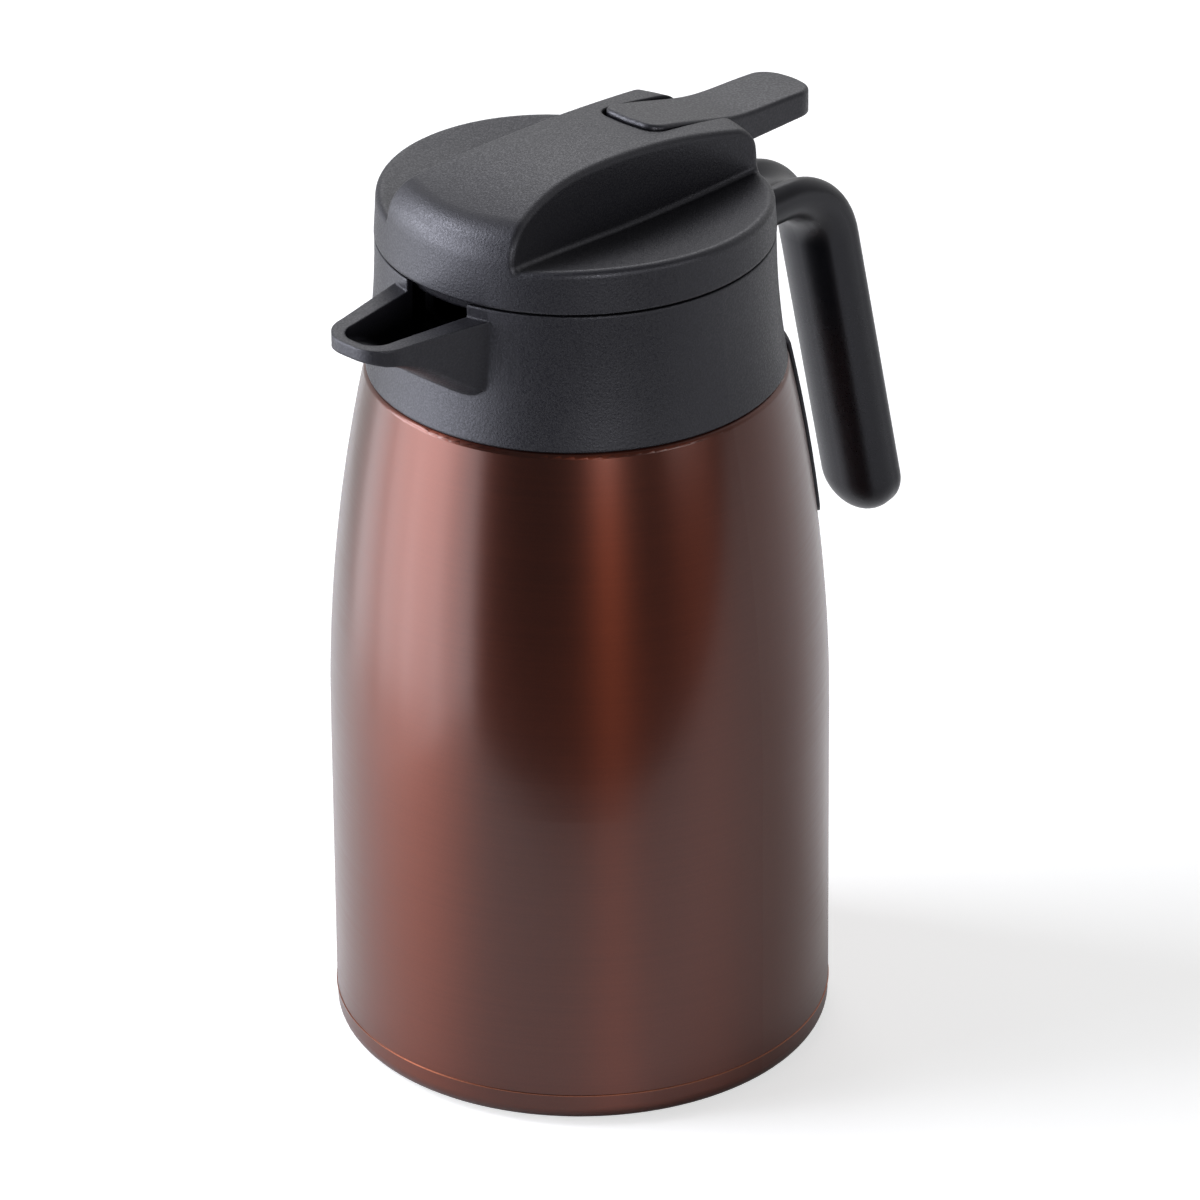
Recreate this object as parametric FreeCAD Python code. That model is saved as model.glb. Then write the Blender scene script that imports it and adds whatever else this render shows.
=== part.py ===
import FreeCAD, Part
import math
import os

# Thermal pot: a vacuum-walled table pot with a spouted collar, an open-ended handle and a twist-off
# stopper lid whose thumb lever lifts a spring-closed valve.
# Millimetres. The origin is the middle of the base on the table, +Z is up, the spout points along -Y
# and the handle along +Y. The pot is the same on both sides of the plane X = 0.

# Body and vacuum bottle
BODY_R = 65.0
STRAIGHT_TOP = 90.0
SHOULDER_ARC_R = 470.0
SHOULDER_Z = 189.4
ROLL_R = 1.5
WALL = 0.8
VACUUM_GAP = 4.0
SEAM_Z = 9.3
NECK_R = 43.0
MOUTH_Z = 203.0
BOTTLE_FLOOR_Z = 18.6
BOTTLE_CORNER_R = 12.0
BOTTLE_SHOULDER_Z = 170.0
NECK_GAP = 0.8
NECK_CORNER_R = 2.0
BOTTLE_SHOULDER_R = 9.0
BOTTLE_NECK_R = 4.0

# Base
PAD_H = 1.0
PAD_R = 59.8
CAP_R = 64.9
CAP_WALL = 1.2
CAP_CORNER_R = 4.5
CAP_TOP_Z = 9.0
PLATE_Z = 14.0
PLATE_RIM_Z = 12.0
PLATE_DISH_R = 54.0
PLATE_BEND_R = 1.5
GETTER_R = 8.0
GETTER_H = 2.0

# Collar
COLLAR_R_LOW = 54.0
COLLAR_R_MID = 51.75
COLLAR_R_TOP = 51.1
COLLAR_MID_Z = 209.0
COLLAR_TOP_Z = 226.1
COLLAR_WALL = 2.2
COLLAR_CHAMFER = 0.6
FLANGE_Z = 197.6
FLANGE_T = 2.4
FLANGE_HOLE_R = 46.6
APRON_HALF_ANGLE = 38.0
APRON_LOW_Z = 139.0
APRON_T = 1.0
APRON_GAP = 0.2
APRON_CORNER_R = 5.0

# Spout, measured from the pot's axis towards the front
SPOUT_RIM_Z = 222.8
# distance from the axis, half width, underside height, radius of the lower corners
SPOUT_SECTIONS = (
    (46.0, 18.0, 199.6, 8.0),
    (52.0, 17.3, 202.0, 8.0),
    (62.0, 14.6, 209.2, 6.5),
    (71.0, 12.8, 215.4, 4.5),
    (83.0, 12.0, 219.6, 2.2),
)
# outline of the rim seen from above: distance from the axis, half width, radius of the corner
SPOUT_PLAN = ((46.0, 17.0), (72.0, 11.6, 30.0), (81.4, 10.4, 9.4))
# distance from the axis, half width, floor height, radius of the lower corners
CHANNEL_SECTIONS = (
    (44.0, 12.4, 204.6, 5.0),
    (52.0, 11.8, 205.6, 5.0),
    (62.0, 10.2, 212.6, 4.5),
    (71.0, 8.8, 218.2, 3.2),
    (80.0, 8.0, 221.6, 1.0),
)
CHANNEL_PLAN = ((44.0, 11.4), (71.0, 7.4, 25.0), (78.9, 6.5, 6.0))

# Neck ring and its seals
NUT_R_IN = 43.2
NUT_R_OUT = 46.2
NUT_LOW_Z = 191.5
NUT_TOP_Z = 212.0
NUT_LIP_R = 41.2
NUT_LIP_T = 2.0
NUT_THREAD_R = 43.4
NUT_FLANGE_R = 48.6
NUT_FLANGE_T = 2.4
SEAL_T = 0.8

# Handle
# half section of the handle: place across, height over the arm's axis, radius of the corner
HANDLE_SECTION = (
    (4.6, -8.2, 14.0),
    (11.7, -4.2, 7.0),
    (11.7, 7.9, 3.5),
)
HANDLE_VALLEY = 0.6
HANDLE_VALLEY_R = 8.0
BEND_Y = 69.4
BEND_Z = 190.7
BEND_R = 22.3
GRIP_LEAN = 12.6
GRIP_LEN = 79.2
HANDLE_SCREW_X = 5.0
HANDLE_SCREW_Z = 210.8
HANDLE_SCREW_R = 1.7
HANDLE_SCREW_HEAD_R = 3.0
HANDLE_SCREW_HEAD_T = 2.0
HANDLE_SCREW_LEN = 14.0

# Lid cover
LID_LOW_Z = 226.9
LID_R_LOW = 51.2
LID_R_HIGH = 49.7
LID_HIGH_Z = 252.0
LID_TOP_Z = 251.9
LID_CREST_Y = -14.0
LID_FRONT_ARC_R = 105.0
LID_REAR_ARC_R = 280.0
LID_CROWN_R = 300.0
LID_FRONT_FILLET = 10.5
LID_REAR_FILLET = 7.5
LID_WALL = 2.4
# hourglass ridge seen from above: place along the ridge, half width
RIDGE_PLAN = ((-58.0, 28.4), (-42.0, 21.2), (-30.0, 17.7), (-15.0, 15.4),
              (0.0, 15.1), (20.0, 16.1), (36.0, 18.2), (58.0, 23.0))
SCOOP_LOW_Y = 12.0
SCOOP_AXIS_Z = 227.3
SCOOP_ARC_R = 290.0
SCOOP_TILT = 11.75
SCOOP_ROOT_R = 1.2
LID_EDGE_R = 1.7

# Lever and its pin
LEVER_HALF_W = 9.6
LEVER_TIP_HALF_W = 9.2
LEVER_NOSE_Y = 18.4
LEVER_TIP_Y = 82.2
LEVER_LOW_Z = 235.3
# thumb face: place along the lever, height
LEVER_TOP = ((15.0, 251.8), (28.0, 249.3), (40.0, 246.2), (51.0, 243.7), (64.0, 242.7), (84.0, 240.9))
LEVER_EDGE_R = 1.0
LEVER_NOSE_R = 4.5
LEVER_TIP_R = 7.0
LEVER_NOSE_BULGE = 1.0
LEVER_TIP_BULGE = 2.0
LEVER_BULGE_R = 14.0
LEVER_NOSE_LOW_Z = 246.5
LEVER_HUB_R = 3.6
LEVER_WALL = 2.2
LEVER_POCKET_Y = 49.0
LEVER_POCKET_END = 78.5
LEVER_POCKET_H = 4.2
LEVER_PIN_Y = 33.0
LEVER_PIN_Z = 238.0
LEVER_PIN_R = 1.5
LEVER_PIN_HALF = 15.0
LEVER_PIN_PLAY = 0.08
LEVER_GAP = 0.9
LEVER_NOSE_GAP = 1.4
SLOT_LOW_Z = 231.4
FORK_IN = 4.6
FORK_OUT = 8.0
FORK_END_R = 1.85
FORK_END_Z = 229.7
FORK_RISE_Y = 17.0

# Stopper under the lid cover
PLUG_PLATE_R = 48.2
PLUG_PLATE_Z = 223.4
PLUG_PLATE_T = 2.6
PLUG_R = 42.6
PLUG_STEP_Z = 207.6
PLUG_LOW_R = 39.8
PLUG_LOW_Z = 196.5
PLUG_WALL = 2.4
WINDOW_COUNT = 6
WINDOW_ANGLE = 38.0
WINDOW_LOW_Z = 213.5
WINDOW_TOP_Z = 221.4
GUIDE_R = 8.0
GUIDE_LOW_Z = 218.0
GUIDE_TOP_Z = 227.0
PLUG_FLOOR_Z = 190.0
PLUG_FLOOR_T = 2.4
SEAT_HOLE_R = 9.0
SPIGOT_TOP_Z = 201.0
PACKING_R = 40.2
PACKING_H = 3.8
RUNNING_GAP = 0.3
LID_SCREW_PLACES = ((10.0, -32.0), (-10.0, -32.0), (13.2, 24.0), (-13.2, 24.0))
LID_SCREW_R = 1.25
LID_SCREW_HEAD_R = 2.8
LID_SCREW_HEAD_T = 1.8
LID_SCREW_TOP_Z = 234.0
LID_BOSS_R = 3.0

# Valve
STEM_R = 3.0
STEM_TIP_R = 2.4
STEM_LOW_Z = 196.4
STEM_STEP_Z = 231.8
STEM_TOP_Z = 238.5
STEM_PLAY = 0.1
STEM_PACKING_R = 5.6
STEM_PACKING_LOW_Z = 223.6
STEM_PACKING_TOP_Z = 226.2
VALVE_R = 11.4
VALVE_T = 2.4
VALVE_HUB_R = 5.5
VALVE_HUB_H = 7.0
VALVE_KNOB_R = 5.0
VALVE_SEAL_R = 12.0
VALVE_SEAL_T = 1.2
VALVE_SEAL_GAP = 0.2
SEAT_R = 9.0
SEAT_T = 2.0
SEAT_HUB_R = 4.4
SEAT_HUB_H = 2.2
CLIP_R = 5.0
CLIP_T = 0.8
CLIP_GROOVE_R = 1.9
CLIP_MOUTH = 3.4
SPRING_TOP_Z = 246.2
SPRING_CUP_R = 7.0
SPRING_CUP_WALL = 1.5
SPRING_CUP_LOW_Z = 243.6
SPRING_COIL_R = 6.0
SPRING_WIRE_R = 0.5
SPRING_TURNS = 4

ORIGIN = FreeCAD.Vector(0, 0, 0)
X_AXIS = FreeCAD.Vector(1, 0, 0)
Y_AXIS = FreeCAD.Vector(0, 1, 0)
Z_AXIS = FreeCAD.Vector(0, 0, 1)
FAR = 90.0


def point(x, y, z):
    return FreeCAD.Vector(x, y, z)


def half_plane(r, z):
    return point(r, 0, z)


def line(a, b):
    return Part.LineSegment(a, b).toShape()


def arc(a, middle, b):
    return Part.Arc(a, middle, b).toShape()


def curve(points):
    """Smooth curve through a few points."""
    spline = Part.BSplineCurve()
    spline.interpolate(points)
    return spline.toShape()


def rounded_edges(corners, closed):
    """Edges through corners (place, radius), each corner rounded by its own radius."""
    stops = []
    for index, (here, radius) in enumerate(corners):
        is_end = not closed and index in (0, len(corners) - 1)
        if is_end or not radius:
            stops.append((here, None, here))
            continue
        back = corners[index - 1][0] - here
        ahead = corners[(index + 1) % len(corners)][0] - here
        half = back.getAngle(ahead) / 2
        back.normalize()
        ahead.normalize()
        inward = (back + ahead).normalize()
        middle = here + inward * (radius / math.sin(half) - radius)
        cut = radius / math.tan(half)
        stops.append((here + back * cut, middle, here + ahead * cut))
    edges = []
    for index, (entry, middle, leave) in enumerate(stops):
        if middle:
            edges.append(arc(entry, middle, leave))
        if closed or index + 1 < len(stops):
            following = stops[(index + 1) % len(stops)][0]
            if leave.distanceToPoint(following) > 1e-6:
                edges.append(line(leave, following))
    return edges


def rounded_face(corners, place):
    """Flat face from corners (u, v) or (u, v, radius), put in space by place(u, v)."""
    spots = [(place(*corner[:2]), corner[2] if len(corner) == 3 else 0.0) for corner in corners]
    return Part.Face(Part.Wire(rounded_edges(spots, closed=True)))


def turn(face, angle=360):
    """Solid of revolution about Z."""
    return face.revolve(ORIGIN, Z_AXIS, angle)


def turned_section(corners):
    """Solid of revolution from half-section corners (r, z) or (r, z, radius)."""
    return turn(rounded_face(corners, half_plane))


def turned_sheet(edges, thickness):
    """Sheet-metal solid of revolution: a strip of the given thickness beside the path."""
    return turn(Part.Wire(edges).makeOffset2D(thickness, join=0, fill=True, openResult=True))


def ring(r_in, r_out, low, high):
    return turned_section(((r_in, low), (r_out, low), (r_out, high), (r_in, high)))


def rod(radius, start, direction, length):
    return Part.makeCylinder(radius, length, start, direction)


def box(x0, x1, y0, y1, z0, z1):
    return Part.makeBox(x1 - x0, y1 - y0, z1 - z0, point(x0, y0, z0))


def edges_where(shape, test):
    """Edges of a shape whose middle passes a test."""
    chosen = []
    for edge in shape.Edges:
        if test(edge.valueAt((edge.FirstParameter + edge.LastParameter) / 2)):
            chosen.append(edge)
    return chosen


def body_arc_point(z, out=0.0):
    """Point of the long shoulder arc at a height, moved outwards along the arc's radius."""
    reach = SHOULDER_ARC_R + out
    return half_plane(BODY_R - SHOULDER_ARC_R + math.sqrt(reach ** 2 - (z - STRAIGHT_TOP) ** 2), z)


def body_arc(z0, z1, out=0.0):
    return arc(*(body_arc_point(z, out) for z in (z0, (z0 + z1) / 2, z1)))


def arc_run_on(z, rise, out=0.0):
    """Point reached by leaving the shoulder arc at a height, straight on, until it has risen so far."""
    start = body_arc_point(z, out)
    lean = (z - STRAIGHT_TOP) / (start.x - BODY_R + SHOULDER_ARC_R)
    return half_plane(start.x - lean * rise, z + rise)


# Body and base

def make_outer_shell():
    """Straight wall, long shoulder arc, rolled edge under the collar, shoulder and neck."""
    rise = 2.0
    arc_top = SHOULDER_Z - rise
    roll = (
        (body_arc_point(arc_top), 0),
        (arc_run_on(arc_top, rise), ROLL_R),
        (half_plane(NECK_R, SHOULDER_Z), NECK_CORNER_R),
        (half_plane(NECK_R, MOUTH_Z), 0),
    )
    wall = line(half_plane(BODY_R, SEAM_Z), half_plane(BODY_R, STRAIGHT_TOP))
    return turned_sheet([wall, body_arc(STRAIGHT_TOP, arc_top), *rounded_edges(roll, closed=False)], WALL)


def make_inner_bottle():
    """Inner bottle with its own shoulder and neck, and the rim that is welded over the outer neck."""
    inset = WALL + VACUUM_GAP
    side_r = BODY_R - inset
    neck_r = NECK_R - WALL - NECK_GAP
    floor = (
        (half_plane(0, BOTTLE_FLOOR_Z), 0),
        (half_plane(side_r, BOTTLE_FLOOR_Z), BOTTLE_CORNER_R),
        (half_plane(side_r, STRAIGHT_TOP), 0),
    )
    rise = SHOULDER_Z - BOTTLE_SHOULDER_Z - inset
    shoulder = (
        (body_arc_point(BOTTLE_SHOULDER_Z, -inset), 0),
        (arc_run_on(BOTTLE_SHOULDER_Z, rise, -inset), BOTTLE_SHOULDER_R),
        (half_plane(neck_r, SHOULDER_Z - WALL), BOTTLE_NECK_R),
        (half_plane(neck_r, MOUTH_Z + WALL), 0),
    )
    path = [
        *rounded_edges(floor, closed=False),
        body_arc(STRAIGHT_TOP, BOTTLE_SHOULDER_Z, -inset),
        *rounded_edges(shoulder, closed=False),
    ]
    rim = ring(neck_r - WALL, NECK_R, MOUTH_Z, MOUTH_Z + WALL)
    return turned_sheet(path, WALL).fuse(rim).removeSplitter()


def make_shell_bottom():
    """Dished plate welded into the foot of the outer shell."""
    path = (
        (half_plane(0, PLATE_Z), 0),
        (half_plane(PLATE_DISH_R, PLATE_Z), PLATE_BEND_R),
        (half_plane(PLATE_DISH_R + PLATE_Z - PLATE_RIM_Z, PLATE_RIM_Z), PLATE_BEND_R),
        (half_plane(BODY_R - WALL, PLATE_RIM_Z), 0),
    )
    return turned_sheet(rounded_edges(path, closed=False), WALL)


def make_getter():
    """Gas-absorbing pill that keeps the vacuum, on the bottom plate."""
    return rod(GETTER_R, point(0, 0, PLATE_Z + WALL), Z_AXIS, GETTER_H)


def make_base_cap():
    """Cap under the seam, with a spigot that plugs into the shell."""
    spigot_out = BODY_R - WALL - RUNNING_GAP
    spigot_in = spigot_out - CAP_WALL
    return turned_section((
        (0, PAD_H),
        (CAP_R, PAD_H, CAP_CORNER_R),
        (CAP_R, CAP_TOP_Z),
        (spigot_out, CAP_TOP_Z),
        (spigot_out, PLATE_RIM_Z),
        (spigot_in, PLATE_RIM_Z),
        (spigot_in, PAD_H + CAP_WALL, CAP_CORNER_R - CAP_WALL / 2),
        (0, PAD_H + CAP_WALL),
    ))


def make_base_pad():
    """Soft pad that the pot stands on."""
    return turned_section(((0, 0), (PAD_R, 0, PAD_H / 3), (PAD_R, PAD_H), (0, PAD_H)))


# Collar, neck ring and handle

def collar_outline():
    """Waisted outer line of the collar, from its chamfered foot to its top edge."""
    return arc(
        half_plane(COLLAR_R_LOW, SHOULDER_Z + COLLAR_CHAMFER),
        half_plane(COLLAR_R_MID, COLLAR_MID_Z),
        half_plane(COLLAR_R_TOP, COLLAR_TOP_Z),
    )


def collar_section(inner_points):
    """Half section between the collar's outer line and points given from the top inwards and down."""
    outer = collar_outline()
    first = half_plane(COLLAR_R_LOW - COLLAR_CHAMFER, SHOULDER_Z)
    spots = [outer.Vertexes[-1].Point, *(half_plane(r, z) for r, z in inner_points), first]
    spots.append(outer.Vertexes[0].Point)
    edges = [outer, *(line(a, b) for a, b in zip(spots, spots[1:]))]
    return turn(Part.Face(Part.Wire(edges)))


def make_collar_wall():
    wall_low = COLLAR_R_LOW - COLLAR_WALL
    wall_mid = COLLAR_R_MID - COLLAR_WALL
    wall_top = COLLAR_R_TOP - COLLAR_WALL
    return collar_section((
        (wall_top, COLLAR_TOP_Z),
        (wall_mid, FLANGE_Z + FLANGE_T),
        (FLANGE_HOLE_R, FLANGE_Z + FLANGE_T),
        (FLANGE_HOLE_R, FLANGE_Z),
        (wall_mid, FLANGE_Z),
        (wall_low, SHOULDER_Z),
    ))


def make_apron():
    """Tongue of the collar that hugs the body behind the handle."""
    near = APRON_GAP
    far = APRON_GAP + APRON_T
    low = APRON_LOW_Z
    rest = SHOULDER_Z + APRON_GAP
    hold_r = COLLAR_R_LOW - COLLAR_WALL / 2
    hold_z = rest + 2 * APRON_T
    inner = body_arc(low, rest, near)
    outer = body_arc(rest + APRON_GAP, low, far)
    spots = [
        inner.Vertexes[-1].Point,
        half_plane(hold_r, rest),
        half_plane(hold_r, hold_z),
        half_plane(COLLAR_R_LOW, hold_z),
        body_arc_point(rest + APRON_GAP, far),
    ]
    foot = line(body_arc_point(low, far), body_arc_point(low, near))
    face = Part.Face(Part.Wire([inner, *(line(a, b) for a, b in zip(spots, spots[1:])), outer, foot]))
    face.rotate(ORIGIN, Z_AXIS, 90 - APRON_HALF_ANGLE)
    tongue = turn(face, 2 * APRON_HALF_ANGLE)
    corners = edges_where(tongue, lambda p: abs(p.z - low) < 0.3 and abs(p.x) > 0.5 * BODY_R)
    return tongue.makeFillet(APRON_CORNER_R, corners) if len(corners) == 2 else tongue


def trough_section(place, half_width, low, corner_r, high):
    """Upright section of the spout: straight sides, flat bottom, rounded lower corners."""
    corners = (
        (-half_width, high), (half_width, high), (half_width, low, corner_r), (-half_width, low, corner_r),
    )
    spots = []
    for x, z, *radius in corners:
        spots.append((point(x, -place, z), radius[0] if radius else 0.0))
    return Part.Wire(rounded_edges(spots, closed=True))


def trough(sections, outline, high):
    """Loft through upright sections, trimmed to its outline in plan."""
    body = Part.makeLoft([trough_section(*section, high) for section in sections], True, False)
    right = [(half, -place, *radius) for place, half, *radius in outline]
    left = [(-half, y, *radius) for half, y, *radius in reversed(right)]
    plan = rounded_face(right + left, lambda x, y: point(x, y, sections[0][2] - 1))
    return body.common(plan.extrude(Z_AXIS * FAR))


def screw_seat_y():
    """Where the handle screws' heads bear, on flats cut into the inside of the collar."""
    return COLLAR_R_TOP - COLLAR_WALL - RUNNING_GAP


def make_collar():
    """Collar ring with its spout, pouring channel and rear apron."""
    inside = ring(0, COLLAR_R_TOP - COLLAR_WALL / 2, SHOULDER_Z, COLLAR_TOP_Z + 1)
    spout = trough(SPOUT_SECTIONS, SPOUT_PLAN, SPOUT_RIM_Z).cut(inside)
    channel = trough(CHANNEL_SECTIONS, CHANNEL_PLAN, COLLAR_TOP_Z + 1)
    solid = make_collar_wall().fuse([make_apron(), spout]).cut(channel)
    for x in (-HANDLE_SCREW_X, HANDLE_SCREW_X):
        solid = solid.cut(rod(HANDLE_SCREW_R, point(x, 0, HANDLE_SCREW_Z), Y_AXIS, FAR))
        seat = rod(HANDLE_SCREW_HEAD_R + RUNNING_GAP, point(x, 0, HANDLE_SCREW_Z), Y_AXIS, screw_seat_y())
        solid = solid.cut(seat)
    return solid.removeSplitter()


def make_neck_ring():
    """Ring nut: grips the neck, clamps the collar's flange and takes the stopper's thread above."""
    flange_z = FLANGE_Z + FLANGE_T + SEAL_T
    lip_z = MOUTH_Z + WALL + SEAL_T
    lip_top = lip_z + NUT_LIP_T
    return turned_section((
        (NUT_R_IN, NUT_LOW_Z), (NUT_R_OUT, NUT_LOW_Z),
        (NUT_R_OUT, flange_z), (NUT_FLANGE_R, flange_z),
        (NUT_FLANGE_R, flange_z + NUT_FLANGE_T), (NUT_R_OUT, flange_z + NUT_FLANGE_T),
        (NUT_R_OUT, NUT_TOP_Z), (NUT_THREAD_R, NUT_TOP_Z),
        (NUT_THREAD_R, lip_top), (NUT_LIP_R, lip_top),
        (NUT_LIP_R, lip_z), (NUT_R_IN, lip_z),
    ))


def make_collar_gasket():
    low = FLANGE_Z + FLANGE_T
    return ring(FLANGE_HOLE_R + APRON_GAP, NUT_FLANGE_R, low, low + SEAL_T)


def make_mouth_gasket():
    return ring(NUT_LIP_R, NECK_R, MOUTH_Z + WALL, MOUTH_Z + WALL + SEAL_T)


def handle_section(height, y):
    """Handle section square to the arm: bulging inside, a shallow valley between two crests outside."""
    right = list(HANDLE_SECTION)
    left = [(-x, z, radius) for x, z, radius in reversed(right)]
    corners = (*right, (0, HANDLE_VALLEY, HANDLE_VALLEY_R), *left)
    return rounded_face(corners, lambda x, z: point(x, y, height + z))


def make_handle():
    """Level arm, one bend and a straight grip that leans away from the body to a free, full-round end."""
    arm_z = BEND_Z + BEND_R
    turn_angle = 90 - GRIP_LEAN
    lean = math.radians(GRIP_LEAN)
    section = handle_section(arm_z, BEND_Y)
    arm = section.extrude(Y_AXIS * -(BEND_Y - COLLAR_R_TOP + 2 * COLLAR_WALL))
    bend_centre = point(0, BEND_Y, BEND_Z)
    bend = section.revolve(bend_centre, X_AXIS, -turn_angle)
    grip_start = section.copy()
    grip_start.rotate(bend_centre, X_AXIS, -turn_angle)
    grip_way = point(0, math.sin(lean), -math.cos(lean))
    grip = grip_start.extrude(grip_way * GRIP_LEN)
    outward = point(0, math.cos(lean), math.sin(lean))
    end_face = grip_start.common(box(0, FAR, -3 * FAR, 3 * FAR, -3 * FAR, 3 * FAR)).Faces[0]
    end_face.translate(grip_way * GRIP_LEN)
    tip = end_face.revolve(bend_centre + outward * BEND_R + grip_way * GRIP_LEN, outward, 180)
    collar_core = collar_section(((0, COLLAR_TOP_Z), (0, SHOULDER_Z)))
    solid = arm.fuse([bend, grip, tip]).cut(collar_core)
    for x in (-HANDLE_SCREW_X, HANDLE_SCREW_X):
        hole = rod(HANDLE_SCREW_R, point(x, screw_seat_y(), HANDLE_SCREW_Z), Y_AXIS, HANDLE_SCREW_LEN)
        solid = solid.cut(hole)
    return solid.removeSplitter()


def make_handle_screws():
    """Two screws from inside the collar into the handle's arm."""
    seat = screw_seat_y()
    screws = []
    for x in (-HANDLE_SCREW_X, HANDLE_SCREW_X):
        head_start = point(x, seat - HANDLE_SCREW_HEAD_T, HANDLE_SCREW_Z)
        head = rod(HANDLE_SCREW_HEAD_R, head_start, Y_AXIS, HANDLE_SCREW_HEAD_T)
        shank_start = point(x, seat, HANDLE_SCREW_Z)
        shank = rod(HANDLE_SCREW_R - STEM_PLAY / 2, shank_start, Y_AXIS, HANDLE_SCREW_LEN)
        screws.append(head.fuse(shank).removeSplitter())
    return Part.makeCompound(screws)


# Lid cover

def ridge_wall(side, inset):
    """Plan curve of one wall of the hourglass ridge."""
    return curve([point(side * (half - inset), y, 0) for y, half in RIDGE_PLAN])


def scoop_space(side, inset):
    """Room beside the ridge for the fingers: outside the ridge wall and above the tilted, hollow floor."""
    wall = ridge_wall(side, inset)
    front, back = (end.Point for end in wall.Vertexes)
    out = side * FAR
    plan = Part.Wire([
        wall, line(back, point(out, back.y, 0)), line(point(out, back.y, 0), point(out, front.y, 0)),
        line(point(out, front.y, 0), front),
    ])
    column = Part.Face(plan)
    column.translate(Z_AXIS * (LID_LOW_Z - FAR))
    column = column.extrude(Z_AXIS * 3 * FAR)
    low = SCOOP_AXIS_Z - inset
    reach = FAR
    rise = reach ** 2 / (2 * SCOOP_ARC_R)
    floor = arc(
        point(0, SCOOP_LOW_Y - reach, low + rise),
        point(0, SCOOP_LOW_Y, low),
        point(0, SCOOP_LOW_Y + reach, low + rise),
    )
    ends = [end.Point for end in floor.Vertexes]
    lift = Z_AXIS * FAR
    face = Part.Face(Part.Wire([
        floor,
        line(ends[1], ends[1] + lift),
        line(ends[1] + lift, ends[0] + lift),
        line(ends[0] + lift, ends[0]),
    ]))
    tilt = math.radians(SCOOP_TILT)
    space = column.common(face.extrude(point(side * FAR, 0, FAR * math.tan(tilt)))).Solids[0]
    root = edges_where(space, lambda p: abs(p.y) < 40 and abs(p.x) < 30 and p.z < low + FAR / 2)
    return space.makeFillet(SCOOP_ROOT_R, root)


def lid_half(inset, rear):
    """Front or rear half of the lid's full dome, its upper edge rounded."""
    way = 1 if rear else -1
    fillet = (LID_REAR_FILLET if rear else LID_FRONT_FILLET) - inset
    arc_r = (LID_REAR_ARC_R if rear else LID_FRONT_ARC_R) - inset
    top = LID_TOP_Z - inset
    reach = way * LID_R_LOW * 1.2 - LID_CREST_Y
    drop = arc_r - math.sqrt(arc_r ** 2 - reach ** 2)
    middle_drop = arc_r - math.sqrt(arc_r ** 2 - reach ** 2 / 4)
    crest = point(0, LID_CREST_Y, top)
    end = point(0, LID_CREST_Y + reach, top - drop)
    rim = arc(crest, point(0, LID_CREST_Y + reach / 2, top - middle_drop), end)
    low_end = point(0, end.y, LID_LOW_Z - 1)
    low_crest = point(0, crest.y, LID_LOW_Z - 1)
    side = Part.Face(Part.Wire([rim, line(end, low_end), line(low_end, low_crest), line(low_crest, crest)]))
    crown_axis = point(0, 0, LID_TOP_Z - LID_CROWN_R)
    sweep = 2 * math.degrees(math.asin(LID_R_LOW * 1.1 / LID_CROWN_R))
    side.rotate(crown_axis, Y_AXIS, -sweep / 2)
    dome = side.revolve(crown_axis, Y_AXIS, sweep)
    drum = turned_section((
        (0, LID_LOW_Z), (LID_R_LOW - inset, LID_LOW_Z), (LID_R_HIGH - inset, LID_HIGH_Z), (0, LID_HIGH_Z)))
    drum.rotate(ORIGIN, Z_AXIS, -90 * way)
    half = drum.common(dome)
    corner = [edge for edge in half.Edges if is_dome_rim(edge, inset)]
    return half.makeFillet(fillet, corner)


def is_dome_rim(edge, inset):
    """True for the edge where the lid's dome meets its round wall."""
    spots = [edge.valueAt(edge.FirstParameter + share * (edge.LastParameter - edge.FirstParameter))
             for share in (0.2, 0.5, 0.8)]
    on_wall = all(math.hypot(p.x, p.y) > LID_R_HIGH - inset - 0.2 for p in spots)
    return on_wall and all(p.z > LID_LOW_Z + 5 for p in spots) and abs(spots[0].x - spots[-1].x) > 5


def lid_form(inset=0.0):
    """The lid's outer form, or the same form moved inwards by inset all over."""
    dome = lid_half(inset, rear=False).fuse(lid_half(inset, rear=True)).removeSplitter()
    for side in (-1, 1):
        dome = dome.cut(scoop_space(side, inset))
    return dome.Solids[0]


def soft_lid_form():
    """The outer form with the rims of the scoops and the edges of the ridge, one chain a side, rounded."""
    form = lid_form()
    rims = edges_where(form, lambda p: math.hypot(p.x, p.y) > LID_R_HIGH and abs(p.x) > LID_R_HIGH / 2
                       and p.z > LID_LOW_Z + 3 * LID_WALL)
    return form.makeFillet(LID_EDGE_R, rims).Solids[0]


def lever_plan(gap=0.0, nose_gap=0.0):
    """Plan of the lever, or of its slot where gaps are added, with a blunt nose and a shallow round tip."""
    half_w = LEVER_HALF_W + gap
    tip_half_w = LEVER_TIP_HALF_W + gap
    nose = LEVER_NOSE_Y - nose_gap
    side_nose = nose + LEVER_NOSE_BULGE
    side_tip = LEVER_TIP_Y - LEVER_TIP_BULGE
    return rounded_face((
        (half_w, side_nose, LEVER_NOSE_R + gap),
        (tip_half_w, side_tip, LEVER_TIP_R),
        (0, LEVER_TIP_Y, LEVER_BULGE_R),
        (-tip_half_w, side_tip, LEVER_TIP_R),
        (-half_w, side_nose, LEVER_NOSE_R + gap),
        (0, nose, LEVER_BULGE_R),
    ), lambda x, y: point(x, y, 0))


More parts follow.
